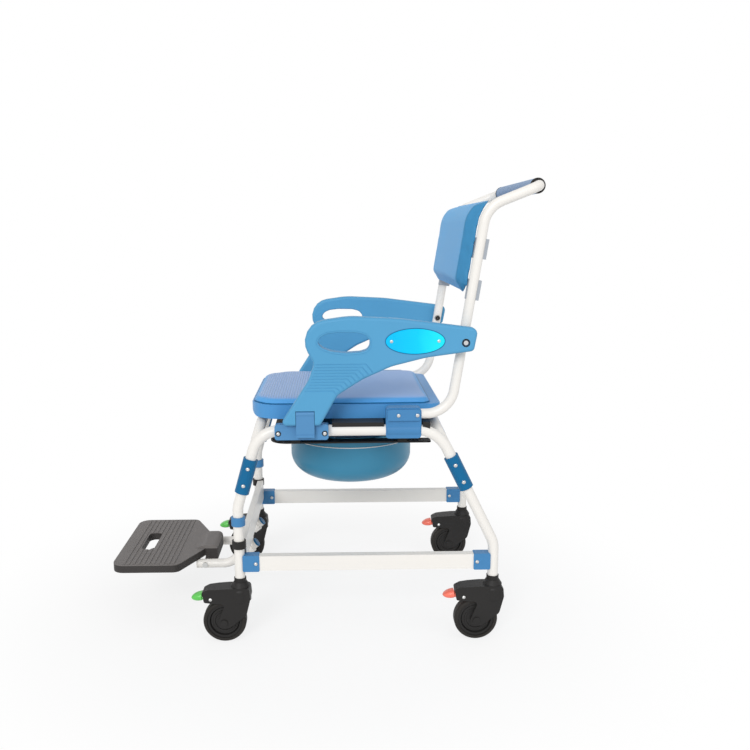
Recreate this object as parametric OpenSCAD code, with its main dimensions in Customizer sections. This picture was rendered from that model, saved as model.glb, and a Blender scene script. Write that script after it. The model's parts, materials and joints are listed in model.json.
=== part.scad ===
// Shower commode chair on four braked casters, in millimetres.
// The chair faces -Y, the sitter's left is +X, and the floor is Z = 0.

/* [Side frames] */
// Half the distance between the left and right frame planes
half_track = 240; // [236:1:256]
// Outside diameter of the side frame tube
frame_d = 25; // [24.5:0.5:26.5]
// Wall of every round tube
tube_wall = 2; // [1.5:0.1:2.5]
// Height of the level run of the side frame
rail_z = 500; // [494:1:506]
// Where the level run would meet the front leg line
front_corner_y = -128.6; // [-132:0.1:-124]
// Where the level run would meet the rear leg line
rear_corner_y = 270.4; // [266:0.1:275]
// Slope of the front leg from upright
front_lean = 16.1; // [14:0.1:18]
// Slope of the rear leg from upright
rear_lean = 26.2; // [24:0.1:28]
// Bend radius at the front of the side frame
front_bend_r = 62; // [50:1:66]
// Bend radius at the rear of the side frame
rear_bend_r = 80; // [60:1:84]

/* [Legs and sleeves] */
// Outside diameter of the legs and cross tubes
leg_d = 24; // [22:0.5:24.5]
// Front leg below its knee, also the front caster stem
front_leg_y = -180; // [-186:0.5:-176]
// Rear leg below its knee, also the rear caster stem
rear_leg_y = 402; // [396:0.5:408]
// Bend radius of the leg knees
knee_r = 60; // [40:1:80]
// Outside diameter of the joining sleeves
sleeve_d = 33; // [32:0.5:36]
// Length of a sleeve
sleeve_l = 82; // [70:1:90]
// Height of the middle of the front sleeves
front_sleeve_z = 397; // [390:1:405]
// Height of the middle of the rear sleeves
rear_sleeve_z = 401; // [395:1:410]
// Rise from one sleeve bolt to the next
sleeve_bolt_rise = 39; // [30:1:46]
// Radius of the frame bolts
bolt_r = 3; // [2.5:0.1:3.5]
// Radius of the bolt heads
bolt_head_r = 6; // [5:0.1:7]
// Height of the bolt heads
bolt_head_h = 3.2; // [2:0.1:5]
// Spacer washer between a sleeve and the cross tube beside it
spacer_t = 3; // [2:0.1:5]
// Corner radius of the cross tubes
cross_bend_r = 60; // [45:1:75]
// Height of the front cross tube's bar above the level run
front_cross_rise = 5; // [0:0.5:7]
// Height of the rear cross tube's bar above the level run
rear_cross_rise = 5; // [0:0.5:7]

/* [Side rails and crossbar] */
// Height of the underside of the side rails
side_rail_z = 173; // [165:1:182]
// Side rail width across the chair
side_rail_w = 20; // [16:0.5:24]
// Side rail depth from top to bottom
side_rail_h = 35; // [28:1:42]
// Wall of the flat tubes
flat_wall = 2; // [1.5:0.1:3]
// Length of a rail end cap in front of or behind its leg
cap_l = 34; // [28:1:44]
// Wall of a rail end cap outside the rail
cap_wall = 2; // [1.5:0.1:3]
// How far an end cap reaches round its leg
cap_grip = 4; // [3:0.5:8]
// Distance from the leg axis to the rail bolt
rail_bolt_inset = 38; // [34:0.5:42]
// Front crossbar thickness, front to back
crossbar_t = 16; // [14:0.5:20]
// Front crossbar depth from top to bottom
crossbar_h = 52; // [44:1:60]
// Height of the underside of the front crossbar
crossbar_z = 190; // [188:1:200]
// Distance of the crossbar behind the front leg axis
crossbar_back = 7; // [4:0.5:9]
// Height of the ring clamps that hold the crossbar
clamp_h = 18; // [14:1:24]
// Wall of the ring clamps and leg collars
ring_wall = 4; // [3:0.5:5]
// Height of the underside of the leg collars
collar_z = 280; // [270:1:290]
// Height of a leg collar
collar_h = 21; // [16:1:26]

/* [Footrest] */
// Half the distance between the footrest arms
arm_half = 77; // [72:0.5:84]
// Outside diameter of the footrest arms
arm_d = 22; // [20:0.5:24]
// Height of the level part of the footrest arms
arm_z = 121; // [118:0.5:124]
// Front end of the footrest arms
arm_front_y = -304; // [-310:0.5:-300]
// Where the footrest arms turn up
arm_knee_y = -226; // [-232:0.5:-220]
// Rise of the arms behind the knee, in degrees
arm_rise = 38.4; // [34:0.2:42]
// Height of the rear end of the footrest arms
arm_end_z = 174.5; // [170:0.5:178]
// Bend radius of the footrest arms
arm_bend_r = 45; // [35:1:60]
// Hinge pin of the footplate, front to back
foot_pin_y = -286; // [-290:0.5:-282]
// Radius of the footplate hinge pin
foot_pin_r = 4; // [3:0.1:5]
// Front edge of the footplate
footplate_front_y = -500; // [-510:1:-480]
// Half the width of the footplate
footplate_half = 160; // [140:1:170]
// Where the footplate starts to narrow towards its hinge
footplate_neck_y = -341; // [-350:1:-330]
// Thickness of the footplate
footplate_t = 20.5; // [14:0.5:24]
// Half the width of the footplate's hinge block
foot_block_half = 52; // [44:1:56]
// Corner radius of the footplate
footplate_r = 28; // [16:1:40]
// Finger slot width
foot_slot_w = 120; // [90:1:140]
// Finger slot depth, front to back
foot_slot_d = 33; // [26:1:40]
// Middle of the finger slot
foot_slot_y = -436; // [-446:1:-430]
// Distance between the ribs of the footplate
foot_rib_pitch = 12; // [9:0.5:18]

/* [Back frame and backrest] */
// Outside diameter of the back frame tube
back_d = 22; // [20:0.5:25]
// Height of the back tube above the level run
back_tube_rise = 36; // [33:0.5:40]
// Front end of the back tube in its bracket
back_tube_y = 160; // [157:0.5:166]
// Slope of the back from upright
back_lean = 9; // [7:0.2:11]
// Where the back tube turns up
back_knee_y = 297.3; // [292:0.1:302]
// Bend radius where the back tube turns up
back_knee_r = 62; // [50:1:70]
// Height of the corner where the back tube turns to the handle
back_top_z = 980.7; // [960:0.1:1000]
// Bend radius of that corner
back_top_r = 60; // [50:1:70]
// Rise of the handle arms, in degrees
handle_rise = 21.1; // [18:0.2:24]
// Rear face of the push handle grip
handle_back_y = 500; // [495:0.5:505]
// Corner radius of the push handle
handle_bend_r = 35; // [28:1:45]
// Outside diameter of the push grip
grip_d = 33; // [30:0.5:36]
// Half the length of the push grip
grip_half = 195; // [170:1:200]
// Front of the back brackets
bracket_front_y = 155; // [152:0.5:156]
// Length of the back brackets
bracket_l = 78; // [70:1:84]
// Bracket half width towards the seat
bracket_in = 17; // [15.5:0.5:17]
// Bracket half width away from the seat
bracket_out = 19; // [17:0.5:22]
// Bracket wall above the back tube
bracket_wall = 5; // [3:0.5:8]
// How far the backrest reaches past the middle of the back tubes
backrest_over = 0; // [-10:1:5]
// Depth of the underside of the backrest below the corner of the back tube
backrest_drop = 182.7; // [170:0.1:192]
// Thickness of the backrest
backrest_t = 29.5; // [24:0.5:34]
// Thickness of the backrest at its top edge
backrest_top_t = 18.7; // [15:0.1:22]
// How far the top of the backrest leans, in degrees
backrest_top_lean = 35; // [30:1:40]
// Length of the leaning top strip
backrest_top_l = 27; // [20:1:30]
// Width of the moulded border of the backrest
backrest_border = 26; // [18:1:34]
// Corner radius of the backrest
backrest_r = 34; // [20:1:50]
// Depth of the lower pair of backrest clips below the corner of the back tube
clip_low_drop = 172.7; // [162:0.1:177]
// Depth of the upper pair of backrest clips below that corner
clip_high_drop = 85.7; // [75:0.1:100]
// Height of a backrest clip
clip_h = 43; // [30:1:50]

/* [Armrests] */
// Inner face of the armrests, from the frame plane
arm_gap = 14.5; // [14:0.5:17]
// Thickness of the armrests
armrest_t = 30; // [26:1:34]
// Height of the armrest pivot above the armrest foot
arm_pivot_rise = 178.5; // [174:0.5:182]
// Radius of the armrest pivot bolts
arm_pivot_r = 4; // [3.5:0.1:5]
// Rounding of the armrest edges
armrest_edge = 7; // [4:0.5:9]
// Length of the hand hole
hand_hole_l = 109; // [95:1:112]
// Height of the hand hole
hand_hole_h = 45; // [38:1:47]
// Length of the oval plate
plate_l = 126; // [100:1:130]
// Height of the oval plate
plate_h = 54; // [44:1:56]
// Thickness of the oval plate
plate_t = 1.8; // [1:0.1:3]
// Front end of the armrest base
base_front_y = -90; // [-92:0.5:-86]
// Rear end of the armrest base
base_rear_y = 28; // [24:0.5:34]
// Height of the armrest base above the level run
base_rise = 20; // [18:0.5:22]
// Middle of the latch, front to back
latch_y = -22; // [-26:0.5:-20]
// Width of the latch
latch_w = 40; // [34:1:44]
// Height of the latch hinge above the armrest foot
latch_pin_rise = 26; // [22:0.5:30]
// Length of the latch below its hinge
latch_l = 52; // [40:1:56]
// Thickness of the latch
latch_t = 13; // [11:0.5:14]

/* [Seat and bucket] */
// Distance of the side of the seat base from the frame plane
seat_gap = 37; // [30:0.5:42]
// Front edge of the seat
seat_front_y = -150; // [-156:1:-146]
// Rear edge of the seat base
seat_rear_y = 283; // [272:1:286]
// Height of the seat base above the side frame tube
seat_clip_t = 5.9; // [4:0.1:9]
// Depth of the seat base
seat_base_h = 31.8; // [26:0.2:38]
// Wall of the seat base
seat_wall = 5; // [3:0.5:7]
// Rounding of the lower front and rear edges of the seat base
seat_under_r = 18; // [12:0.5:20]
// Front corner radius of the seat
seat_front_r = 70; // [50:1:85]
// Rear corner radius of the seat
seat_rear_r = 32; // [22:1:44]
// Seat opening width
seat_hole_w = 215; // [190:1:230]
// Seat opening length
seat_hole_l = 270; // [240:1:280]
// How far the lid stops short of the rear of the seat base
lid_short = 19; // [10:1:30]
// How far the lid stays inside the edge of the seat base
lid_inset = 4; // [1:0.5:8]
// Thickness of the lid at its rim
lid_t = 13.5; // [12.5:0.5:20]
// Extra height of the lid at its crown
lid_crown = 4; // [2:0.5:8]
// Rounding of the lid's edge
lid_edge = 12; // [8:0.5:13]
// Middle of the bucket, front to back
bucket_y = 80.5; // [76:0.5:84]
// Clearance of the bucket in the slot of its guide
bucket_clear = 10; // [6:0.5:20]
// How far the bucket's rim flange laps on the guide
flange_lap = 10; // [7:0.5:14]
// Depth of the bucket below its flange
bucket_depth = 138; // [120:1:150]
// Rounding of the foot of the bucket
bucket_foot_r = 62; // [40:1:70]
// Wall of the bucket
bucket_wall = 2.5; // [2:0.1:4]
// Thickness of the bucket guide plate
guide_t = 4; // [3:0.1:6]
// Depth of the guide plate's top below the seat base
guide_drop = 57.4; // [54:0.2:62]
// Width of the two rails of the guide
guide_rail_w = 32; // [29:0.5:35]
// Distance of the side of the guide from the side of the seat base
guide_inset = 11; // [8:0.5:15]
// Front edge of the guide
guide_front_y = -108; // [-112:0.5:-104]
// Rear ends of the guide
guide_rear_y = 262; // [250:1:266]

/* [Casters] */
// Radius of the caster wheels
wheel_r = 50; // [48:0.5:52]
// Width of the caster tyres
tyre_w = 30; // [26:0.5:32]
// Thickness of the tyre
tyre_t = 9; // [7:0.5:11]
// Distance of the wheel axle ahead of the swivel
caster_trail = 38; // [34:0.5:40]
// Radius of the wheel axle
axle_r = 5; // [4:0.1:6]
// Clearance between fork and tyre
tyre_gap = 2; // [1.5:0.1:3]
// Thickness of a fork leg
fork_t = 4; // [3:0.1:5]
// Height of the top of the fork
fork_top_z = 133.7; // [132:0.1:135]
// Radius of the swivel dome
dome_r = 24; // [22:0.5:26]
// Radius of the caster stem
stem_r = 6; // [5:0.1:7]
// Rivet of the brake pedal ahead of the swivel
rivet_ahead = 68; // [66:0.5:70]
// Height of that rivet
rivet_z = 107; // [106:0.5:109]
// Radius of that rivet
rivet_r = 3; // [2.5:0.1:3.5]
// Reach of the pedal tip ahead of the swivel
pedal_reach = 114.5; // [108:0.5:118]
// Width of the brake pedal
pedal_w = 34; // [28:1:38]

/* [Hidden] */
// Fit between a tube, pin or bolt and its hole, on the radius
fit = 0.05;
// Running gap between pieces that move past each other
run_gap = 0.3;
// Overshoot of cutting shapes
over = 1;
// Swelling of a tube's bends on the radius, and the lap of the straight runs in them
bend_swell = 0.1;
bend_lap = 0.5;
$fn = 48;

tube_blue = "#2f6fb7";
pad_blue = "#2f78c4";
tube_white = "#e4e4e0";
black_plastic = "#26282b";

// Leg lines: place along Y of a leg's axis at a height
function front_y(z) = front_corner_y - (rail_z - z) * tan(front_lean);
function rear_y(z) = rear_corner_y + (rail_z - z) * tan(rear_lean);
front_knee_z = rail_z - (front_corner_y - front_leg_y) / tan(front_lean);
rear_knee_z = rail_z - (rear_leg_y - rear_corner_y) / tan(rear_lean);

// Casters under the legs
collar_cup = 15;
leg_foot_z = fork_top_z + run_gap + 6;
leg_knees = [[front_leg_y, front_knee_z], [rear_leg_y, rear_knee_z]];

// Cross tubes beside the sleeves
cross_half = half_track - sleeve_d / 2 - spacer_t - leg_d / 2;
front_cross_z = rail_z + front_cross_rise;
rear_cross_z = rail_z + rear_cross_rise;

// Back tube: its level run, its slope and its corner to the handle
back_tube_z = rail_z + back_tube_rise;
function back_y(z) = back_knee_y + (z - back_tube_z) * tan(back_lean);
back_top_y = back_y(back_top_z);
handle_y = handle_back_y - grip_d / 2;
handle_z = back_top_z + (handle_y - back_top_y) * tan(handle_rise);

// Backrest and its clips under the corner of the back tube
backrest_half = half_track + backrest_over;
backrest_z = back_top_z - backrest_drop;
clip_low_z = back_top_z - clip_low_drop;
clip_high_z = back_top_z - clip_high_drop;

// Widths of the seat, the guide below it and the bucket in the guide
seat_half = half_track - seat_gap;
guide_half = seat_half - guide_inset;
guide_slot_half = guide_half - guide_rail_w;
flange_r = guide_slot_half + flange_lap;
bucket_r = guide_slot_half - bucket_clear;

// Seat, guide and bucket heights
seat_z = rail_z + frame_d / 2 + seat_clip_t;
seat_top_z = seat_z + seat_base_h;
guide_top_z = seat_z - guide_drop;

// Armrest: foot on its base, pivot on the back tube
arm_x = half_track + arm_gap;
arm_foot_z = rail_z + base_rise;
arm_pivot_z = arm_foot_z + arm_pivot_rise;
arm_pivot_y = back_y(arm_pivot_z);
latch_pin_z = arm_foot_z + latch_pin_rise;
latch_pin_x = arm_x + armrest_t - latch_t / 2;

// Footplate heights: it rests just above the footrest arms
foot_under_z = arm_z + arm_d / 2 + run_gap;
foot_top_z = foot_under_z + footplate_t;

// Vector helpers
function unit(v) = v / norm(v);
function across(w) = unit(cross(abs(w.z) < 0.9 ? [0, 0, 1] : [1, 0, 0], w));
function smooth(t) = let (c = min(max(t, 0), 1)) c * c * (3 - 2 * c);

// Frame whose X, Y and Z axes are u, v and w, placed at p
module placed(u, v, w, p) {
    multmatrix([[u.x, v.x, w.x, p.x], [u.y, v.y, w.y, p.y], [u.z, v.z, w.z, p.z], [0, 0, 0, 1]])
        children();
}

// Round bar from a to b
module bar(a, b, d) {
    w = unit(b - a);
    u = across(w);
    placed(u, cross(w, u), w, a) cylinder(d = d, h = norm(b - a));
}

// Length that a bend of radius r takes from each side of corner i
function bend_trim(p, i, r) =
    r * tan(acos(unit(p[i] - p[i - 1]) * unit(p[i + 1] - p[i])) / 2);

// Section of a bar, or of a tube where it has a wall
module section(d, wall) {
    difference() {
        circle(d = d);
        if (wall > 0) circle(d = d - 2 * wall);
    }
}

// Straight runs and bends along a path, with a bend radius for each inner corner.
// A bend is swollen a little, and the straight runs end just inside it.
module run_along(p, radii, d, wall) {
    last = len(p) - 1;
    trim = [for (i = [0:last]) i == 0 || i == last ? 0 : bend_trim(p, i, radii[i - 1]) - bend_lap];
    for (i = [0:last - 1]) {
        w = unit(p[i + 1] - p[i]);
        a = p[i] + trim[i] * w;
        u = across(w);
        placed(u, cross(w, u), w, a)
            linear_extrude(norm(p[i + 1] - trim[i + 1] * w - a)) section(d, wall);
    }
    for (i = [1:last - 1]) {
        u = unit(p[i] - p[i - 1]);
        v = unit(p[i + 1] - p[i]);
        n = unit(v - (u * v) * u);
        r = radii[i - 1];
        placed(-n, u, cross(-n, u), p[i] - bend_trim(p, i, r) * u + r * n)
            rotate_extrude(angle = acos(u * v)) translate([r, 0])
                section(d + 2 * bend_swell, wall > 0 ? wall + 2 * bend_swell : 0);
    }
}

module bent_bar(p, radii, d) {
    run_along(p, radii, d, 0);
}

module bent_tube(p, radii, d) {
    run_along(p, radii, d, tube_wall);
}

// The same path with its two ends drawn out, for bores
function drawn_out(p, by) = let (n = len(p) - 1) [for (i = [0:n])
    i == 0 ? p[0] - by * unit(p[1] - p[0]) : i == n ? p[n] + by * unit(p[n] - p[n - 1]) : p[i]];

// Mirrors its children to the sitter's right when s is -1
module on_side(s) {
    if (s > 0) children();
    else mirror([1, 0, 0]) children();
}

// Shape along X between x0 and x1, drawn with Y across and Z up
module along_x(x0, x1) {
    placed([0, 1, 0], [0, 0, 1], [1, 0, 0], [x0, 0, 0]) linear_extrude(x1 - x0) children();
}

module x_hole(y, z, r) {
    translate([0, y, z]) rotate([0, 90, 0]) cylinder(r = r, h = 4 * half_track, center = true);
}

// Flat shape with a front and a rear pair of round corners
module round_plate(half, y0, y1, rf, rr) {
    translate([-half, y0 + rf]) square([2 * half, y1 - y0 - rf - rr]);
    translate([-half + rf, y0]) square([2 * (half - rf), rf + over]);
    translate([-half + rr, y1 - rr - over]) square([2 * (half - rr), rr + over]);
    for (s = [-1, 1]) {
        translate([s * (half - rf), y0 + rf]) circle(rf);
        translate([s * (half - rr), y1 - rr]) circle(rr);
    }
}

// Slot of length l and height h with round ends
module stadium(l, h) {
    square([l - h, h], center = true);
    for (e = [-1, 1]) translate([e * (l - h) / 2, 0]) circle(d = h);
}

// Corners [x, y, r] of a closed outline, each rounded into an arc of a few points
function rounded(c, steps = 6) = [for (i = [0:len(c) - 1])
    let (n = len(c), p = [c[i].x, c[i].y], a = c[(i + n - 1) % n], b = c[(i + 1) % n],
        u = unit(p - [a.x, a.y]), v = unit([b.x, b.y] - p), turn = acos(u * v), r = c[i].z,
        side = sign(u.x * v.y - u.y * v.x), q = p - r * tan(turn / 2) * u,
        normal = side * [-u.y, u.x])
    for (k = [0:steps]) let (f = turn * k / steps) q + r * sin(f) * u + r * (1 - cos(f)) * normal];

// Outline drawn in by d along the bisector of each corner
function drawn_in(o, d) = [for (i = [0:len(o) - 1])
    let (n = len(o), u = unit(o[i] - o[(i + n - 1) % n]), v = unit(o[(i + 1) % n] - o[i]),
        m = unit(u + v))
    o[i] + d / (m * u) * [-m.y, m.x]];

// Triangles of a closed outline that may bend inwards, cut off ear by ear
function turn_of(a, b, c) = (b.x - a.x) * (c.y - a.y) - (b.y - a.y) * (c.x - a.x);
function in_corner(p, a, b, c) = turn_of(a, b, p) >= 0 && turn_of(b, c, p) >= 0 && turn_of(c, a, p) >= 0;
function is_ear(o, left, i) = let (n = len(left), a = left[(i + n - 1) % n], b = left[i], c = left[(i + 1) % n])
    turn_of(o[a], o[b], o[c]) > 0
        && len([for (k = left) if (k != a && k != b && k != c && in_corner(o[k], o[a], o[b], o[c])) k]) == 0;
function ears(o, left) = len(left) == 3 ? [left]
    : let (n = len(left), i = [for (k = [0:n - 1]) if (is_ear(o, left, k)) k][0])
        concat([[left[(i + n - 1) % n], left[i], left[(i + 1) % n]]],
            ears(o, [for (k = [0:n - 1]) if (k != i) left[k]]));

// Slab of an outline in Y and Z, from x0, with rounded edges of radius e
module soft_slab(o, x0, t, e) {
    arc = [for (k = [0:3]) [e * (1 - sin(k * 30)), e * (1 - cos(k * 30))]];
    levels = concat([for (a = arc) [x0 + a.y, a.x]], [for (k = [3:-1:0]) [x0 + t - arc[k].y, arc[k].x]]);
    m = len(o);
    last = len(levels) - 1;
    points = [for (l = levels) for (q = drawn_in(o, l.y)) [l.x, q.x, q.y]];
    sides = [for (l = [0:last - 1], i = [0:m - 1]) let (j = (i + 1) % m)
        each [[l * m + i, (l + 1) * m + j, l * m + j], [l * m + i, (l + 1) * m + i, (l + 1) * m + j]]];
    flat = ears(drawn_in(o, e), [for (i = [0:m - 1]) i]);
    caps = [for (f = flat) each [f, [for (i = [2:-1:0]) last * m + f[i]]]];
    polyhedron(points, concat(sides, caps));
}

// Closed pad from two grids of points, top and bottom, with nu by nv cells
module grid_pad(nu, nv, top, bottom) {
    row = nv + 1;
    under = (nu + 1) * row;
    points = concat([for (i = [0:nu], j = [0:nv]) top(i / nu, j / nv)],
                    [for (i = [0:nu], j = [0:nv]) bottom(i / nu, j / nv)]);
    skin = [for (i = [0:nu - 1], j = [0:nv - 1]) let (a = i * row + j, b = a + row)
        each [[a, a + 1, b + 1], [a, b + 1, b],
              [under + a, under + b + 1, under + a + 1], [under + a, under + b, under + b + 1]]];
    ends = [for (i = [0:nu - 1], j = [0, nv]) let (a = i * row + j, b = a + row)
        each j == 0 ? [[a, b, under + b], [a, under + b, under + a]]
                    : [[a, under + b, b], [a, under + a, under + b]]];
    flanks = [for (j = [0:nv - 1], i = [0, nu]) let (a = i * row + j, b = a + 1)
        each i == 0 ? [[a, under + b, b], [a, under + a, under + b]]
                    : [[a, b, under + b], [a, under + b, under + a]]];
    polyhedron(points, concat(skin, ends, flanks));
}

// Side frame and the paths of the bent tubes
function side_path(x) = [[x, front_y(front_sleeve_z), front_sleeve_z], [x, front_corner_y, rail_z],
    [x, rear_corner_y, rail_z], [x, rear_y(rear_sleeve_z), rear_sleeve_z]];
side_radii = [front_bend_r, rear_bend_r];
function handle_side(x) = [[x, back_tube_y, back_tube_z], [x, back_knee_y, back_tube_z],
    [x, back_top_y, back_top_z], [x, handle_y, handle_z]];
back_path = concat(handle_side(half_track), [for (i = [3:-1:0]) handle_side(-half_track)[i]]);
back_radii = [back_knee_r, back_top_r, handle_bend_r, handle_bend_r, back_top_r, back_knee_r];

// Bolt places [y, z] on the sleeves and on the pieces of the side frame
base_bolt_inset = 8;
function sleeve_bolts(z0) = [for (s = [-1, 1]) z0 + s * sleeve_bolt_rise / 2];
front_bolts = [for (z = sleeve_bolts(front_sleeve_z)) [front_y(z), z]];
rear_bolts = [for (z = sleeve_bolts(rear_sleeve_z)) [rear_y(z), z]];
base_bolts = [for (y = [base_front_y + base_bolt_inset, base_rear_y - base_bolt_inset]) [y, rail_z]];
bracket_bolts = [for (f = [0.35, 0.88]) [bracket_front_y + f * bracket_l, back_tube_z]];
rail_mid_z = side_rail_z + side_rail_h / 2;
rail_bolts = [for (y = [front_leg_y + rail_bolt_inset, rear_leg_y - rail_bolt_inset]) [y, rail_mid_z]];

module bolt_holes(places) {
    for (b = places) x_hole(b.x, b.y, bolt_r + fit);
}

module side_frame(s) {
    color(tube_white) on_side(s) difference() {
        bent_tube(side_path(half_track), side_radii, frame_d);
        bolt_holes(concat([front_bolts[1], rear_bolts[1]], base_bolts));
    }
}

// Inverted U beside the sleeves, in the slope of its legs
module cross_tube(top_z, foot, top_y, places) {
    path = [[cross_half, foot.x, foot.y], [cross_half, top_y, top_z], [-cross_half, top_y, top_z],
        [-cross_half, foot.x, foot.y]];
    color(tube_white) difference() {
        bent_tube(path, [cross_bend_r, cross_bend_r], leg_d);
        bolt_holes(places);
    }
}

module front_cross_tube() {
    z = front_sleeve_z - sleeve_l / 2 * cos(front_lean);
    cross_tube(front_cross_z, [front_y(z), z], front_y(front_cross_z), front_bolts);
}

module rear_cross_tube() {
    z = rear_sleeve_z - sleeve_l / 2 * cos(rear_lean);
    cross_tube(rear_cross_z, [rear_y(z), z], rear_y(rear_cross_z), rear_bolts);
}

// Two joining sleeves with a stepped bore: side frame above, leg below
module sleeves(y, z, lean, places) {
    along = [0, sin(lean), cos(lean)];
    for (s = [-1, 1]) {
        mid = [s * half_track, y, z];
        color(tube_blue) difference() {
            bar(mid - sleeve_l / 2 * along, mid + sleeve_l / 2 * along, sleeve_d);
            bar(mid, mid + (sleeve_l / 2 + over) * along, frame_d + 2 * fit);
            bar(mid - (sleeve_l / 2 + over) * along, mid + over * along, leg_d + 2 * fit);
            bolt_holes(places);
        }
    }
}

module front_sleeves() {
    sleeves(front_y(front_sleeve_z), front_sleeve_z, front_lean, front_bolts);
}

module rear_sleeves() {
    sleeves(rear_y(rear_sleeve_z), rear_sleeve_z, -rear_lean, rear_bolts);
}

// Lower leg from the middle of its sleeve to the caster
module leg(s, top, knee, place) {
    x = s * half_track;
    color(tube_white) difference() {
        bent_tube([[x, top.x, top.y], [x, knee.x, knee.y], [x, knee.x, leg_foot_z]], [knee_r], leg_d);
        bolt_holes([place]);
    }
}

module front_leg(s) {
    leg(s, [front_y(front_sleeve_z), front_sleeve_z], leg_knees[0], front_bolts[0]);
}

module rear_leg(s) {
    leg(s, [rear_y(rear_sleeve_z), rear_sleeve_z], leg_knees[1], rear_bolts[0]);
}

// Low flat rail between the front and the rear leg, held in its end caps
rail_stop = leg_d / 2 + 4;
rail_y0 = front_leg_y + rail_stop;
rail_y1 = rear_leg_y - rail_stop;

module side_rail(s) {
    color(tube_white) difference() {
        translate([s * half_track - side_rail_w / 2, rail_y0, side_rail_z])
            cube([side_rail_w, rail_y1 - rail_y0, side_rail_h]);
        translate([s * half_track - side_rail_w / 2 + flat_wall, rail_y0 - over, side_rail_z + flat_wall])
            cube([side_rail_w - 2 * flat_wall, rail_y1 - rail_y0 + 2 * over, side_rail_h - 2 * flat_wall]);
        bolt_holes(rail_bolts);
    }
}

// End cap outline seen from the side, from the leg axis backwards
module cap_outline() {
    half = side_rail_h / 2 + cap_wall;
    polygon(rounded([[leg_d / 2 - cap_grip, -half, 3], [leg_d / 2 + cap_l, -half, 3],
        [leg_d / 2 + cap_l, half, 3], [leg_d / 2 - cap_grip, half, 3]], 3));
}

module rail_end_caps() {
    color(tube_blue) for (s = [-1, 1], e = [0, 1]) difference() {
        translate([s * half_track, e == 0 ? front_leg_y : rear_leg_y, rail_mid_z])
            mirror([0, e, 0]) along_x(-side_rail_w / 2 - cap_wall, side_rail_w / 2 + cap_wall) cap_outline();
        translate([s * half_track, e == 0 ? front_leg_y : rear_leg_y, 0])
            cylinder(d = leg_d + 2 * fit, h = 2 * rail_mid_z);
        translate([s * half_track - side_rail_w / 2 - fit, rail_y0 - fit, side_rail_z - fit])
            cube([side_rail_w + 2 * fit, rail_y1 - rail_y0 + 2 * fit, side_rail_h + 2 * fit]);
        bolt_holes(rail_bolts);
    }
}

// Flat bar between the front legs, with two lugs that clamp the footrest arms
crossbar_y = front_leg_y + crossbar_back;
crossbar_end = half_track - leg_d / 2 - 1.5;
arm_end_y = arm_knee_y + (arm_end_z - arm_z) / tan(arm_rise);
arm_dir = [0, cos(arm_rise), sin(arm_rise)];
lug_l = 18;
lug_wall = 4;
lug_from_end = 12;

function arm_path(x) = [[x, arm_front_y, arm_z], [x, arm_knee_y, arm_z], [x, arm_end_y, arm_end_z]];

module front_crossbar() {
    color(tube_white) difference() {
        union() {
            translate([-crossbar_end, crossbar_y - crossbar_t / 2, crossbar_z])
                cube([2 * crossbar_end, crossbar_t, crossbar_h]);
            for (s = [-1, 1]) lug(s * arm_half);
        }
        translate([-crossbar_end - over, crossbar_y - crossbar_t / 2 + flat_wall, crossbar_z + flat_wall])
            cube([2 * (crossbar_end + over), crossbar_t - 2 * flat_wall, crossbar_h - 2 * flat_wall]);
        for (s = [-1, 1])
            bent_bar(drawn_out(arm_path(s * arm_half), over), [arm_bend_r], arm_d + 2 * fit);
    }
}

// Clamp ring round a footrest arm and its web up to the crossbar
module lug(x) {
    end = [x, arm_end_y, arm_end_z] - lug_from_end * arm_dir;
    start = end - lug_l * arm_dir;
    bar(start, end, arm_d + 2 * lug_wall);
    top = crossbar_z + flat_wall / 2;
    translate([x - lug_wall, crossbar_y - crossbar_t / 2, start.z])
        cube([2 * lug_wall, crossbar_t, top - start.z]);
}

// Black rings on the front legs with a tongue inside the crossbar
clamp_z = crossbar_z + crossbar_h - clamp_h + 2;

module crossbar_clamps() {
    tongue_l = 32;
    tongue_t = crossbar_t - 2 * flat_wall - 2 * fit;
    tongue_h = clamp_h - 2 - flat_wall - 2 * fit;
    color(black_plastic) for (s = [-1, 1]) difference() {
        union() {
            translate([s * half_track, front_leg_y, clamp_z]) cylinder(d = leg_d + 2 * ring_wall, h = clamp_h);
            on_side(s) translate([crossbar_end - tongue_l, crossbar_y - tongue_t / 2, clamp_z])
                cube([tongue_l + leg_d / 2, tongue_t, tongue_h]);
        }
        translate([s * half_track, front_leg_y, clamp_z - over])
            cylinder(d = leg_d + 2 * fit, h = clamp_h + 2 * over);
        on_side(s) difference() {
            translate([0, crossbar_y - crossbar_t / 2 - fit, crossbar_z])
                cube([crossbar_end + fit, crossbar_t + 2 * fit, crossbar_h]);
            translate([-over, crossbar_y - tongue_t / 2, clamp_z])
                cube([crossbar_end + 2 * over, tongue_t, tongue_h]);
        }
    }
}

// Blue collars on the front legs
module leg_collars() {
    color(tube_blue) for (s = [-1, 1]) translate([s * half_track, front_leg_y, collar_z]) difference() {
        cylinder(d = leg_d + 2 * ring_wall, h = collar_h);
        translate([0, 0, -over]) cylinder(d = leg_d + 2 * fit, h = collar_h + 2 * over);
    }
}

module footrest_arm(s) {
    color(tube_white) difference() {
        bent_tube(arm_path(s * arm_half), [arm_bend_r], arm_d);
        x_hole(foot_pin_y, arm_z, foot_pin_r + fit);
    }
}

// Plugs in the open ends of the footrest arms
module footrest_arm_plugs() {
    head_l = 4;
    tail_l = 12;
    color(tube_blue) for (s = [-1, 1]) {
        path = arm_path(s * arm_half);
        for (e = [[path[2], arm_dir], [path[0], [0, -1, 0]]]) {
            bar(e[0], e[0] + head_l * e[1], arm_d);
            bar(e[0] - tail_l * e[1], e[0], arm_d - 2 * tube_wall - 2 * fit);
        }
    }
}

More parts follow.
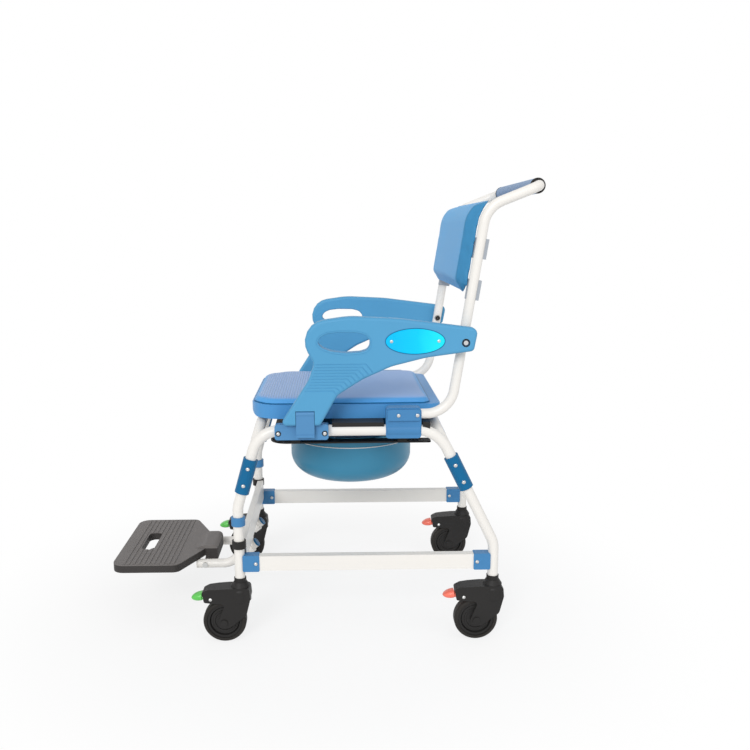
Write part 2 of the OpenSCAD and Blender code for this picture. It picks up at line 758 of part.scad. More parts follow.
// Pin through the footrest arms, with spacers beside the hinge block
module footplate_pin() {
    head = 3;
    head_r = foot_pin_r + 3;
    reach = arm_half + arm_d / 2;
    spacer_x = foot_block_half + run_gap;
    color("silver") translate([0, foot_pin_y, arm_z]) {
        rotate([0, 90, 0]) cylinder(r = foot_pin_r, h = 2 * (reach + head), center = true);
        for (s = [-1, 1]) on_side(s) rotate([0, 90, 0]) {
            translate([0, 0, reach]) cylinder(r = head_r, h = head);
            translate([0, 0, spacer_x]) cylinder(r = head_r, h = arm_half - arm_d / 2 - spacer_x);
        }
    }
}

// Ribbed footplate: wide tread, tapered neck and hinge block
module footplate() {
    block_back = 27;
    block_low = 10;
    lip = 5;
    wedge_l = 50;
    rib_h = 1.2;
    rib_w = foot_rib_pitch * 0.55;
    rib_inset = 6;
    neck_half = foot_block_half + 8;
    neck_end = foot_pin_y - 7;
    block_front = neck_end + 3;
    back = foot_pin_y + block_back;
    outline = rounded([[-footplate_half, footplate_front_y, footplate_r],
        [footplate_half, footplate_front_y, footplate_r], [footplate_half, footplate_neck_y, 20],
        [neck_half, neck_end, 6], [foot_block_half, block_front, 1], [foot_block_half, back, 6],
        [-foot_block_half, back, 6], [-foot_block_half, block_front, 1], [-neck_half, neck_end, 6],
        [-footplate_half, footplate_neck_y, 20]], 6);
    color(black_plastic) difference() {
        union() {
            translate([0, 0, foot_under_z]) linear_extrude(footplate_t - rib_h) polygon(outline);
            along_x(-foot_block_half, foot_block_half)
                polygon(rounded([[block_front, arm_z - block_low, 3], [back, arm_z - block_low, 12],
                    [back, foot_top_z + lip, 12], [neck_end, foot_top_z + lip, 20],
                    [neck_end - wedge_l, foot_under_z + footplate_t / 2, 4],
                    [block_front, foot_under_z, 1]], 4));
            for (y = [footplate_front_y + footplate_r:foot_rib_pitch:footplate_neck_y])
                translate([-footplate_half + rib_inset, y - rib_w / 2, foot_under_z])
                    cube([2 * (footplate_half - rib_inset), rib_w, footplate_t]);
        }
        translate([0, foot_slot_y, foot_under_z - over]) linear_extrude(footplate_t + 2 * over)
            stadium(foot_slot_w, foot_slot_d);
        x_hole(foot_pin_y, arm_z, foot_pin_r + fit);
    }
}

module back_frame() {
    color(tube_white) difference() {
        bent_tube(back_path, back_radii, back_d);
        bolt_holes(bracket_bolts);
        x_hole(arm_pivot_y, arm_pivot_z, arm_pivot_r + fit);
    }
}

// Soft grip round the bar of the push handle
module handle_grip() {
    bore = back_d / 2 + fit;
    round = 5;
    color("#9fb6c8") translate([-grip_half, handle_y, handle_z]) rotate([0, 90, 0])
        rotate_extrude() difference() {
            union() {
                translate([bore, round]) square([grip_d / 2 - bore, 2 * (grip_half - round)]);
                translate([bore, 0]) square([grip_d / 2 - bore - round, 2 * grip_half]);
                for (z = [round, 2 * grip_half - round])
                    translate([grip_d / 2 - round, z]) circle(round);
            }
            translate([0, -over]) square([bore, 2 * (grip_half + over)]);
        }
}

// Block that carries the back tube on the side frame, with a raised pad above and a round pod below
module back_bracket(s) {
    pod_wall = 3.5;
    pod_r = frame_d / 2 + pod_wall;
    low = rail_z - pod_r - 1;
    high = back_tube_z + back_d / 2 + bracket_wall;
    ledge = back_tube_z - back_d / 2 - 1;
    rear = bracket_front_y + bracket_l;
    step = 6;
    rim = 3;
    color(tube_blue) on_side(s) difference() {
        union() {
            along_x(half_track - bracket_in, half_track + bracket_out - step)
                polygon(rounded([[bracket_front_y, low, 7], [rear, low, 7], [rear, high, 9],
                    [bracket_front_y, high, 9]], 4));
            along_x(half_track, half_track + bracket_out)
                polygon(rounded([[bracket_front_y + rim, ledge, 2], [rear - rim, ledge, 2],
                    [rear - rim, high - rim, 6], [bracket_front_y + rim, high - rim, 6]], 4));
            translate([half_track, bracket_front_y + rim, rail_z]) rotate([-90, 0, 0])
                cylinder(r = pod_r, h = bracket_l - 2 * rim);
        }
        bent_bar(side_path(half_track), side_radii, frame_d + 2 * fit);
        bent_bar([for (i = [0:2]) handle_side(half_track)[i]], [back_knee_r], back_d + 2 * fit);
        bolt_holes(bracket_bolts);
    }
}

// Back face of the backrest: up the slope of the tube, round its bend, then straight
rest_off = back_d / 2 + run_gap;
rest_bend_r = back_top_r + rest_off;
rest_foot = [back_y(backrest_z) - rest_off / cos(back_lean), backrest_z];
top_turn = 90 - back_lean - handle_rise;
top_trim = back_top_r * tan(top_turn / 2);
bend_centre = [back_top_y, back_top_z] - top_trim * [sin(back_lean), cos(back_lean)]
    + back_top_r * [cos(back_lean), -sin(back_lean)];
rest_rise = (bend_centre.y + rest_bend_r * sin(back_lean) - backrest_z) / cos(back_lean);
rest_arc = rest_bend_r * (backrest_top_lean - back_lean) * PI / 180;
rest_l = rest_rise + rest_arc + backrest_top_l;

function rest_angle(d) =
    back_lean + min(max(d - rest_rise, 0), rest_arc) / rest_bend_r * 180 / PI;
function rest_point(d) = d <= rest_rise ? rest_foot + d * [sin(back_lean), cos(back_lean)]
    : bend_centre + rest_bend_r * [-cos(rest_angle(d)), sin(rest_angle(d))]
        + max(d - rest_rise - rest_arc, 0) * [sin(rest_angle(d)), cos(rest_angle(d))];

// Half width of a plate with round corners, at distance d from its near and far edge
function corner_half(half, near, far, rn, rf) = half
    - (near < rn ? rn - sqrt(rn * rn - (rn - near) * (rn - near)) : 0)
    - (far < rf ? rf - sqrt(rf * rf - (rf - far) * (rf - far)) : 0);
// Grid places from 0 to 1 that crowd towards both edges
function crowded(t) = (1 - cos(180 * t)) / 2;

module backrest_pad() {
    rim = 0.45;
    place = function (u, v, f)
        let (d = crowded(v) * rest_l, half = corner_half(backrest_half, d, rest_l - d, backrest_r, backrest_r),
            x = (2 * crowded(u) - 1) * half, edge = min(half - abs(x), d, rest_l - d),
            t = backrest_t + (backrest_top_t - backrest_t) * smooth((d - rest_rise) / (rest_l - rest_rise)),
            thick = f * t * (rim + (1 - rim) * smooth(edge / backrest_border)),
            p = rest_point(d), a = rest_angle(d))
        [x, p.x - thick * cos(a), p.y + thick * sin(a)];
    color(pad_blue)
        grid_pad(22, 26, function (u, v) place(u, v, 1), function (u, v) place(u, v, 0));
}

// Clips that hold the backrest on the tubes, open towards the outside
module backrest_clips() {
    wrap = 6;
    bare = 6;
    along = [0, sin(back_lean), cos(back_lean)];
    front = [0, -cos(back_lean), sin(back_lean)];
    color("#8d9399") for (s = [-1, 1], z = [clip_low_z, clip_high_z]) on_side(s) difference() {
        mid = [half_track, back_y(z), z];
        placed([1, 0, 0], -front, along, mid)
            translate([-back_d / 2 - 1, -rest_off + fit, -clip_h / 2])
                cube([back_d + 1 - bare, rest_off + back_d / 2 + wrap, clip_h]);
        bar(mid - clip_h * along, mid + clip_h * along, back_d + 2 * fit);
    }
}

// Saddle on the side frame that the armrest foot stands on
base_in = 17;
base_out = 29;

module armrest_base(s) {
    low = rail_z - frame_d / 2 - 2;
    outline = rounded([[base_front_y, low, 6], [base_rear_y, low, 6], [base_rear_y, arm_foot_z, 6],
        [base_front_y, arm_foot_z, 6]], 4);
    color("#4a4fa8") on_side(s) difference() {
        along_x(half_track - base_in, half_track + base_out) polygon(outline);
        bent_bar(side_path(half_track), side_radii, frame_d + 2 * fit);
        bolt_holes(base_bolts);
    }
}

// Outline of the armrest, front to back and up from its foot
foot_round = armrest_edge + 1;
arm_outline = rounded([[-70.5, 0, foot_round], [10.5, 0, foot_round], [49, 67, 30], [104, 101.5, 80],
    [165, 128.5, 120], [240, 147, 250], [341, 160, armrest_edge + 3], [350, 208.5, 14], [180, 231, 400],
    [75, 236.8, 200], [-48, 220, 47], [-1, 137, 18], [-13, 100, 80]], 6);
hand_hole_at = [62, 183];
plate_at = [215, 183];
function oval(l, h) = [for (a = [0:10:350]) [l / 2 * cos(a), h / 2 * sin(a)]];

module latch_block(grow, x0, x1, z0) {
    translate([x0, latch_y - latch_w / 2 - grow, z0])
        cube([x1 - x0, latch_w + 2 * grow, latch_pin_z + latch_t / 2 + grow - z0]);
}

latch_pin_r = 2.5;

module armrest(s) {
    face = arm_x + armrest_t;
    color(pad_blue) on_side(s) {
        difference() {
            translate([0, 0, arm_foot_z]) difference() {
                soft_slab(arm_outline, arm_x, armrest_t, armrest_edge);
                translate([0, hand_hole_at.x, hand_hole_at.y])
                    along_x(arm_x - over, face + over) stadium(hand_hole_l, hand_hole_h);
                translate([0, plate_at.x, plate_at.y])
                    along_x(face - plate_t - fit, face + over)
                        polygon(oval(plate_l + 4 * fit, plate_h + 4 * fit));
            }
            x_hole(arm_pivot_y, arm_pivot_z, arm_pivot_r + fit);
            translate([face - pivot_sink, arm_pivot_y, arm_pivot_z]) rotate([0, 90, 0])
                cylinder(r = pivot_head_r + run_gap, h = pivot_sink + over);
            latch_block(run_gap, latch_pin_x - latch_t / 2 - run_gap, face + over, arm_foot_z - over);
        }
        translate([latch_pin_x, latch_y - latch_w / 2 - 2, latch_pin_z]) rotate([-90, 0, 0])
            cylinder(r = latch_pin_r, h = latch_w + 4);
    }
}

module armrest_plate(s) {
    screw_r = 3.5;
    face = arm_x + armrest_t;
    color("#2fb4e0") on_side(s) translate([0, plate_at.x, arm_foot_z + plate_at.y]) difference() {
        along_x(face - plate_t, face) polygon(oval(plate_l, plate_h));
        for (e = [-1, 1]) translate([face - plate_t / 2, e * plate_l * 0.4, 0]) rotate([0, 90, 0])
            cylinder(r = screw_r, h = plate_t);
    }
}

// Paddle that hangs from its pin and swings out at the bottom
module armrest_latch(s) {
    lip_out = 1.5;
    lip_h = 6;
    color("#4a4fa8") on_side(s) difference() {
        union() {
            translate([latch_pin_x, latch_y - latch_w / 2, latch_pin_z]) rotate([-90, 0, 0])
                cylinder(d = latch_t, h = latch_w);
            translate([latch_pin_x - latch_t / 2 + 1, latch_y - latch_w / 2, latch_pin_z - latch_l])
                cube([latch_t - 1 - lip_out, latch_w, latch_l]);
            translate([latch_pin_x, latch_y - latch_w / 2, latch_pin_z - latch_l])
                cube([latch_t / 2, latch_w, lip_h]);
        }
        translate([latch_pin_x, latch_y - latch_w, latch_pin_z]) rotate([-90, 0, 0])
            cylinder(r = latch_pin_r + fit, h = 2 * latch_w);
    }
}

pivot_head_r = 7;
pivot_sink = 5;

module armrest_pivots() {
    nut_h = 6;
    inner = half_track - back_d / 2;
    outer = half_track + back_d / 2;
    color("silver") for (s = [-1, 1]) on_side(s) translate([0, arm_pivot_y, arm_pivot_z]) rotate([0, 90, 0]) {
        translate([0, 0, inner - nut_h])
            cylinder(r = arm_pivot_r, h = arm_x + armrest_t - pivot_sink - inner + nut_h);
        translate([0, 0, inner - nut_h]) cylinder(r = pivot_head_r, h = nut_h);
        translate([0, 0, outer]) cylinder(r = pivot_head_r, h = arm_x - outer - run_gap / 2);
        translate([0, 0, arm_x + armrest_t - pivot_sink + run_gap / 2])
            cylinder(r1 = pivot_head_r, r2 = pivot_head_r * 0.7, h = pivot_sink - run_gap);
        translate([0, 0, arm_x + armrest_t - pivot_sink - over]) cylinder(r = arm_pivot_r, h = 2 * over);
    }
}

seat_mid_y = bucket_y - 5;

module seat_hole(w, l) {
    translate([0, seat_mid_y]) rotate(90) stadium(l, w);
}

// Side view of the seat base, drawn in by d, with its lower and upper corner radii
module seat_profile(d, under, top) {
    along_x(-seat_half - over, seat_half + over)
        polygon(rounded([[seat_front_y + d, d, under], [seat_rear_y - d, d, under],
            [seat_rear_y - d, seat_base_h - d, top], [seat_front_y + d, seat_base_h - d, top]], 5));
}

// Room inside the shell: walled all round and open below between the rolled front and rear edges
module seat_cavity() {
    intersection() {
        linear_extrude(seat_base_h) round_plate(seat_half - seat_wall, seat_front_y + seat_wall,
            seat_rear_y - seat_wall, seat_front_r - seat_wall, seat_rear_r - seat_wall);
        seat_profile(seat_wall, seat_under_r - seat_wall, 1);
    }
    translate([0, 0, -over]) linear_extrude(seat_wall + 2 * over)
        round_plate(seat_half - seat_wall, seat_front_y + seat_under_r, seat_rear_y - seat_under_r,
            seat_front_r - seat_under_r, seat_rear_r - seat_under_r);
}

// Moulded seat shell with a turned-down rim round its opening
module seat_base() {
    top_r = 3;
    color("#2b62ae") translate([0, 0, seat_z]) difference() {
        union() {
            difference() {
                intersection() {
                    linear_extrude(seat_base_h)
                        round_plate(seat_half, seat_front_y, seat_rear_y, seat_front_r, seat_rear_r);
                    seat_profile(0, seat_under_r, top_r);
                }
                seat_cavity();
            }
            linear_extrude(seat_base_h) seat_hole(seat_hole_w + 2 * seat_wall, seat_hole_l + 2 * seat_wall);
        }
        translate([0, 0, -over]) linear_extrude(seat_base_h + 2 * over) seat_hole(seat_hole_w, seat_hole_l);
    }
}

// Padded lid on the seat base, crowned, with a round edge
module seat_lid() {
    half = seat_half - lid_inset;
    y0 = seat_front_y;
    long = seat_rear_y - lid_short - y0;
    rim = lid_t - lid_edge;
    place = function (u, v, f)
        let (d = crowded(v) * long, w = corner_half(half, d, long - d, seat_front_r, seat_rear_r),
            a = 2 * crowded(u) - 1, b = 2 * d / long - 1, x = a * w,
            e = min(w - abs(x), d, long - d, lid_edge) / lid_edge,
            z = rim + lid_edge * sqrt(1 - (1 - e) * (1 - e)) + lid_crown * (1 - a * a) * (1 - b * b))
        [x, y0 + d, seat_top_z + f * z];
    color(pad_blue)
        grid_pad(22, 26, function (u, v) place(u, v, 1), function (u, v) place(u, v, 0));
}

// Saddles on the side frame under the seat base: a long strip in front of each bracket, a short one behind
clip_l = 16;
clip_reach = 60;
clip_gap = 4;
clip_side = 4;
clip_low = 2;
clip_spans = [[base_rear_y + 2 * clip_gap, bracket_front_y - clip_gap],
    [bracket_front_y + bracket_l + clip_gap, bracket_front_y + bracket_l + clip_gap + clip_l]];

module seat_clips() {
    color(black_plastic) for (s = [-1, 1], span = clip_spans) on_side(s) difference() {
        translate([half_track - clip_reach, span[0], rail_z - clip_low])
            cube([clip_reach + frame_d / 2 - clip_side, span[1] - span[0], seat_z - rail_z + clip_low]);
        bent_bar(side_path(half_track), side_radii, frame_d + 2 * fit);
    }
}

// Round bucket with a flange that slides on the guide
module bucket() {
    rim_z = guide_top_z + 0.2;
    flange_t = 3;
    low = rim_z - bucket_depth;
    body = bucket_r - bucket_foot_r;
    color("#2a86a8") translate([0, bucket_y, 0]) difference() {
        rotate_extrude($fn = 96) {
            square_from([0, low], [body, rim_z + flange_t]);
            square_from([0, low + bucket_foot_r], [bucket_r, rim_z + flange_t]);
            square_from([0, rim_z], [flange_r, rim_z + flange_t]);
            translate([body, low + bucket_foot_r]) circle(bucket_foot_r);
        }
        rotate_extrude($fn = 96) {
            square_from([0, low + bucket_wall], [body, rim_z + flange_t + over]);
            square_from([0, low + bucket_foot_r], [bucket_r - bucket_wall, rim_z + flange_t + over]);
            translate([body, low + bucket_foot_r]) circle(bucket_foot_r - bucket_wall);
        }
    }
}

module square_from(a, b) {
    translate(a) square(b - a);
}

// Flat U, open to the rear, hung below the seat base on four strips
module bucket_guide() {
    strip_w = 22;
    strip_t = 3;
    strip_x = guide_half - strip_t;
    strip_ys = [-60, 185];
    corner = 40;
    color(black_plastic) difference() {
        union() {
            translate([0, 0, guide_top_z - guide_t]) linear_extrude(guide_t)
                round_plate(guide_half, guide_front_y, guide_rear_y, corner, 6);
            for (s = [-1, 1], y = strip_ys) on_side(s)
                translate([strip_x, y, guide_top_z - guide_t])
                    cube([strip_t, strip_w, seat_top_z - seat_wall - guide_top_z + guide_t]);
        }
        translate([0, 0, guide_top_z - guide_t - over]) linear_extrude(guide_t + 2 * over) {
            translate([0, bucket_y]) circle(guide_slot_half, $fn = 96);
            square_from([-guide_slot_half, bucket_y], [guide_slot_half, guide_rear_y + over]);
        }
    }
}

// Bolt along X with a domed head at each end
module cross_bolt(x0, x1, y, z, inner_head = true) {
    translate([x0, y, z]) rotate([0, 90, 0]) {
        cylinder(r = bolt_r, h = x1 - x0);
        translate([0, 0, x1 - x0]) cylinder(r1 = bolt_head_r, r2 = bolt_head_r * 0.6, h = bolt_head_h);
        if (inner_head)
            translate([0, 0, -bolt_head_h]) cylinder(r1 = bolt_head_r * 0.6, r2 = bolt_head_r, h = bolt_head_h);
    }
}

module frame_bolts() {
    spacer_x = cross_half + leg_d / 2;
    color("silver") for (s = [-1, 1]) on_side(s) {
        for (b = concat(front_bolts, rear_bolts)) {
            cross_bolt(cross_half - leg_d / 2, half_track + sleeve_d / 2, b.x, b.y);
            translate([spacer_x, b.x, b.y]) rotate([0, 90, 0]) cylinder(r = bolt_head_r, h = spacer_t);
        }
        for (b = base_bolts) cross_bolt(half_track - base_in, half_track + base_out, b.x, b.y);
        for (b = bracket_bolts)
            cross_bolt(half_track - bracket_in + 1, half_track + bracket_out, b.x, b.y, false);
        for (b = rail_bolts) {
            w = side_rail_w / 2 + cap_wall;
            cross_bolt(half_track - w, half_track + w, b.x, b.y);
        }
    }
}

// Cup under each leg with a plug inside the tube and the swivel stem below
stem_foot_z = 104;

module caster_stems() {
    cup_z = fork_top_z + run_gap;
    plug_l = 60;
    cone_h = 11;
    color(black_plastic) for (s = [-1, 1], y = [front_leg_y, rear_leg_y]) translate([s * half_track, y, 0]) {
        difference() {
            union() {
                translate([0, 0, cup_z]) cylinder(r1 = dome_r - 2, r2 = leg_d / 2 + 3, h = cone_h);
                translate([0, 0, cup_z]) cylinder(d = leg_d + 4, h = leg_foot_z - cup_z + collar_cup);
            }
            translate([0, 0, leg_foot_z]) cylinder(d = leg_d + 2 * fit, h = collar_cup + over);
        }
        translate([0, 0, leg_foot_z - over]) cylinder(d = leg_d - 2 * tube_wall - 2 * fit, h = plug_l);
        translate([0, 0, stem_foot_z]) cylinder(r = stem_r, h = cup_z - stem_foot_z + over);
    }
}

// Caster pieces are drawn under a swivel axis at the origin, wheel to the front
wheel_slot = tyre_w / 2 + tyre_gap;
fork_half = wheel_slot + fork_t;
pedal_slot = 11.5;

module at_caster(s, front) {
    translate([s * half_track, front ? front_leg_y : rear_leg_y, 0]) children();
}

module at_axle() {
    translate([0, -caster_trail, wheel_r]) rotate([0, 90, 0]) children();
}

// Fork with its dome, side legs and the arm that carries the brake pedal
module caster_fork(s, front) {
    hub_r = 14;
    top = fork_top_z;
    arm_end = rivet_ahead + 20;
    taper_from = caster_trail + 16;
    nose_half = pedal_slot + 4;
    outline = rounded([[-caster_trail - 6, wheel_r - 12, 5], [-caster_trail + 12, wheel_r - 13, 8],
        [14, 68, 16], [dome_r, 108, 12], [dome_r - 2, top, 8], [-28, top, 12], [-arm_end + 14, top - 3.5, 8],
        [-arm_end, top - 10, 5], [-arm_end + 4, rivet_z - 9, 4], [-rivet_ahead + 6, rivet_z - 10, 5],
        [-34, rivet_z - 10, 8], [-caster_trail - 14, wheel_r + 2, 8]], 4);
    color(black_plastic) at_caster(s, front) {
        difference() {
            union() {
                along_x(-fork_half, fork_half) {
                    polygon(outline);
                    translate([-caster_trail, wheel_r]) circle(hub_r);
                }
                rotate_extrude()
                    polygon([[0, 100], [dome_r, 100], [dome_r, top - 10], [dome_r - 5, top], [0, top]]);
            }
            at_axle() cylinder(r = wheel_r + tyre_gap, h = 2 * wheel_slot, center = true, $fn = 96);
            translate([0, 0, stem_foot_z - 1]) cylinder(r = stem_r + fit, h = top);
            translate([-pedal_slot, -arm_end - over, rivet_z - 17]) cube([2 * pedal_slot, 30 + over, 27]);
            for (e = [-1, 1]) on_side(e) translate([0, 0, wheel_r]) linear_extrude(top)
                polygon([[fork_half + over, -taper_from], [fork_half + over, -arm_end - over],
                    [nose_half, -arm_end - over], [fork_half, -taper_from]]);
        }
        at_axle() {
            cylinder(r = axle_r, h = 2 * fork_half, center = true);
            for (e = [-1, 1]) translate([0, 0, e * (fork_half + 1)]) cylinder(r = 8, h = 4, center = true);
        }
        translate([0, -rivet_ahead, rivet_z]) rotate([0, 90, 0])
            cylinder(r = rivet_r, h = 2 * fork_half - 2, center = true);
    }
}

module caster_wheel(s, front) {
    rim = wheel_r - tyre_t;
    hub = wheel_slot - run_gap;
    half = tyre_w / 2 - 3;
    web = 5;
    color("#3a3d40") at_caster(s, front) at_axle() rotate_extrude()
        polygon([[axle_r + fit, -hub], [13, -hub], [14, -web], [rim - 8, -web], [rim - 6, -half], [rim, -half],
            [rim, half], [rim - 6, half], [rim - 8, web], [14, web], [13, hub], [axle_r + fit, hub]]);
}

module caster_tyre(s, front) {
    rim = wheel_r - tyre_t;
    half = tyre_w / 2;
    shoulder = min(tyre_t - 2, half - 4);
    color("#1d1e20") at_caster(s, front) at_axle() rotate_extrude($fn = 96) difference() {
        union() {
            square_from([rim + fit, -half + 2], [wheel_r - shoulder, half - 2]);
            square_from([rim + fit, -half + shoulder], [wheel_r, half - shoulder]);
            for (e = [-1, 1]) translate([wheel_r - shoulder, e * (half - shoulder)]) circle(shoulder);
        }
        square_from([0, -tyre_w], [rim + fit, tyre_w]);
    }
}

// Brake pedal on its rivet, green in front
module caster_pedal(s, front) {
    rear = rivet_ahead + 21.5;
    barrel = 6;
    outline = rounded([[-rear, rivet_z - 9, 2], [-rear, rivet_z + 15, 3], [-rear - 13, rivet_z + 10, 8],
        [-pedal_reach, rivet_z + 2, 2], [-pedal_reach, rivet_z - 4, 2], [-rear - 12, rivet_z - 9, 5]], 4);
    color("#5fa86a") at_caster(s, front) difference() {
        union() {
            along_x(-pedal_w / 2, pedal_w / 2) polygon(outline);
            translate([-pedal_slot + run_gap, -rear - over, rivet_z - barrel])
                cube([2 * (pedal_slot - run_gap), rear - rivet_ahead + over, 2 * barrel]);
            translate([0, -rivet_ahead, rivet_z]) rotate([0, 90, 0])
                cylinder(r = barrel, h = 2 * (pedal_slot - run_gap), center = true);
        }
        translate([0, -rivet_ahead, rivet_z]) rotate([0, 90, 0])
            cylinder(r = rivet_r + fit, h = pedal_w, center = true);
    }
}

side_frame(1);  // side_frame_left
side_frame(-1);  // side_frame_right
front_cross_tube();
rear_cross_tube();
front_sleeves();
rear_sleeves();
front_leg(1);  // front_leg_left
front_leg(-1);  // front_leg_right
rear_leg(1);  // rear_leg_left
rear_leg(-1);  // rear_leg_right
side_rail(1);  // side_rail_left
side_rail(-1);  // side_rail_right
rail_end_caps();
front_crossbar();
crossbar_clamps();
leg_collars();
footrest_arm(1);  // footrest_arm_left
footrest_arm(-1);  // footrest_arm_right
footrest_arm_plugs();
footplate();
footplate_pin();
back_frame();
handle_grip();
back_bracket(1);  // back_bracket_left
back_bracket(-1);  // back_bracket_right
backrest_pad();
backrest_clips();
armrest_base(1);  // armrest_base_left
armrest_base(-1);  // armrest_base_right
armrest(1);  // armrest_left
armrest(-1);  // armrest_right
armrest_plate(1);  // armrest_plate_left
armrest_plate(-1);  // armrest_plate_right
armrest_latch(1);  // armrest_latch_left
armrest_latch(-1);  // armrest_latch_right
armrest_pivots();
seat_base();
seat_lid();
seat_clips();
bucket();
bucket_guide();
frame_bolts();
caster_stems();
for (s = [-1, 1], front = [true, false]) {
    corner = str(front ? "front" : "rear", s > 0 ? "_left" : "_right");
    caster_fork(s, front);
    caster_wheel(s, front);
    caster_tyre(s, front);
    caster_pedal(s, front);
}
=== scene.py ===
import json
import math

import bmesh
import bpy
from mathutils import Matrix, Vector
from mathutils.geometry import convex_hull_2d


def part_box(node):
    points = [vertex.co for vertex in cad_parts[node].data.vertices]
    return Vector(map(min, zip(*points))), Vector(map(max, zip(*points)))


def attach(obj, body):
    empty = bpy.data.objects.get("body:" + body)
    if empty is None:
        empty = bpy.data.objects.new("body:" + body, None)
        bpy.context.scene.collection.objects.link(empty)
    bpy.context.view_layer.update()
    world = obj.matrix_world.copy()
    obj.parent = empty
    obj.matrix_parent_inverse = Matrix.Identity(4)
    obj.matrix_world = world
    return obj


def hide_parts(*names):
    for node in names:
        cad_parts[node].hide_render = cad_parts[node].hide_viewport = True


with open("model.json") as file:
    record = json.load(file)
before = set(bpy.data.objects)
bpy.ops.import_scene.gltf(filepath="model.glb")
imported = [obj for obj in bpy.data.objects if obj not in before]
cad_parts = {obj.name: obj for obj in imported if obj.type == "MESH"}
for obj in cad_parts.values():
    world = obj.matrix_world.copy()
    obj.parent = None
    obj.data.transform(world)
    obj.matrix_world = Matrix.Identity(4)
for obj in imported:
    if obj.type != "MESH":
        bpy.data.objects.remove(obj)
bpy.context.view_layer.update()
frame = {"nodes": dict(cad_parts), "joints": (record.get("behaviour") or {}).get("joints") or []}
nodes = frame["nodes"]
corners = ["front_left", "front_right", "rear_left", "rear_right"]
sides = {"left": 1, "right": -1}
mm = 0.001  # for the sizes that are written in millimetres
weldWithin = 2e-6
print("frame loaded:", len(nodes), "nodes")


def jointPlace(name):
    return Vector(next(j["pos_m"] for j in frame["joints"] if j["name"] == name))


# Shader maths: a wire is a socket, and arithmetic on wires adds Math nodes
class Wire:
    def __init__(self, web, socket):
        self.web = web
        self.socket = socket

    def calc(self, operation, *others):
        return self.web.node("ShaderNodeMath", {"operation": operation}, dict(enumerate((self, *others))))

    def __add__(self, other):
        return self.calc("ADD", other)

    def __mul__(self, other):
        return self.calc("MULTIPLY", other)

    def __sub__(self, other):
        return self.calc("SUBTRACT", other)

    def __rsub__(self, other):
        return self.web.node("ShaderNodeMath", {"operation": "SUBTRACT"}, {0: other, 1: self})

    __radd__ = __add__
    __rmul__ = __mul__

    def between(self, low, high):  # 0 below low, 1 above high, smooth in between
        spread = {"interpolation_type": "SMOOTHSTEP"}
        return self.web.node("ShaderNodeMapRange", spread, {0: self, 1: low, 2: high})


# The nodes of one material or of the world
class Web:
    def __init__(self, tree):
        self.tree = tree
        self.place = None

    def put(self, socket, value):
        if isinstance(value, Wire):
            self.tree.links.new(value.socket, socket)
        else:
            socket.default_value = value

    def node(self, kind, settings=None, values=None, out=0):
        made = self.tree.nodes.new(kind)
        for key, value in (settings or {}).items():
            if key == "stops":
                ramp = made.color_ramp.elements
                while len(ramp) < len(value):
                    ramp.new(0.5)
                for stop, (at, colour) in zip(ramp, value):
                    stop.position = at
                    stop.color = (*colour, 1)
            else:
                setattr(made, key, value)
        for key, value in (values or {}).items():
            self.put(made.inputs[key], value)
        return Wire(self, made.outputs[out])

    def where(self):  # the place on the object, in metres
        if self.place is None:
            self.place = self.node("ShaderNodeTexCoord", out="Object")
        return self.place

    def axis(self, letter):
        return self.node("ShaderNodeSeparateXYZ", None, {0: self.where()}, letter)

    def noise(self, scale, detail=3.0, stretch=None):
        spot = self.where()
        if stretch:
            spot = self.node("ShaderNodeVectorMath", {"operation": "MULTIPLY"}, {0: spot, 1: stretch})
        return self.node("ShaderNodeTexNoise", None, {"Vector": spot, "Scale": scale, "Detail": detail})

    def shade(self, mask, low, high):  # from one colour to the other, each a wire or three numbers
        low, high = (c if isinstance(c, Wire) else (*c, 1) for c in (low, high))
        return self.node("ShaderNodeMix", {"data_type": "RGBA"}, {"Factor": mask, 6: low, 7: high}, 2)

    def mottle(self, mask, colour, low, high):  # one colour, darker and lighter
        return self.shade(mask, tint(colour, low), tint(colour, high))


class Paint(Web):
    def __init__(self, name, **constants):
        self.material = bpy.data.materials.new(name)
        self.material.use_nodes = True
        super().__init__(self.material.node_tree)
        self.shader = self.tree.nodes["Principled BSDF"]
        for socket, value in constants.items():
            self.shader.inputs[socket.replace("_", " ")].default_value = value

    def colour(self, wire):
        self.put(self.shader.inputs["Base Color"], wire)

    def rough(self, wire):
        self.put(self.shader.inputs["Roughness"], wire)

    def bump(self, height, depth):
        values = {"Strength": 1.0, "Distance": depth, "Height": height}
        self.put(self.shader.inputs["Normal"], self.node("ShaderNodeBump", None, values))
        return self


def tint(colour, by):
    return tuple(min(1.0, c * by) for c in colour)


# Moulded plastic: a slow drift of shade, a fine grain and a roughness that follows it
def mouldedPlastic(name, colour, rough=0.42, grain=1400.0, depth=0.00012, drift=0.10, coat=0.0, gloss=0.5):
    paint = Paint(name, Coat_Weight=coat, Coat_Roughness=0.25, Specular_IOR_Level=gloss)
    slow = paint.noise(9.0, 2.0)
    fine = paint.noise(grain, 2.0)
    paint.colour(paint.mottle(slow * 0.75 + fine * 0.25, colour, 1 - drift, 1 + drift))
    paint.rough(rough + (fine - 0.5) * 0.16 + (slow - 0.5) * 0.08)
    return paint.bump(fine, depth)


def coatedTube(name, colour):
    paint = Paint(name, Coat_Weight=0.08, Coat_Roughness=0.22, Specular_IOR_Level=0.35)
    slow = paint.noise(6.0, 2.0)
    speck = paint.noise(2600.0, 1.0)
    paint.colour(paint.mottle(slow * 0.7 + speck * 0.3, colour, 0.955, 1.03))
    paint.rough(0.33 + (slow - 0.5) * 0.12 + (speck - 0.5) * 0.10)
    return paint.bump(speck, 0.00004)


def platedSteel(name, colour):
    paint = Paint(name, Metallic=1.0)
    brushed = paint.noise(900.0, 2.0, (1.0, 6.0, 6.0))
    paint.colour(paint.mottle(brushed, colour, 0.82, 1.08))
    paint.rough(0.24 + brushed * 0.16)
    return paint.bump(brushed, 0.00003)


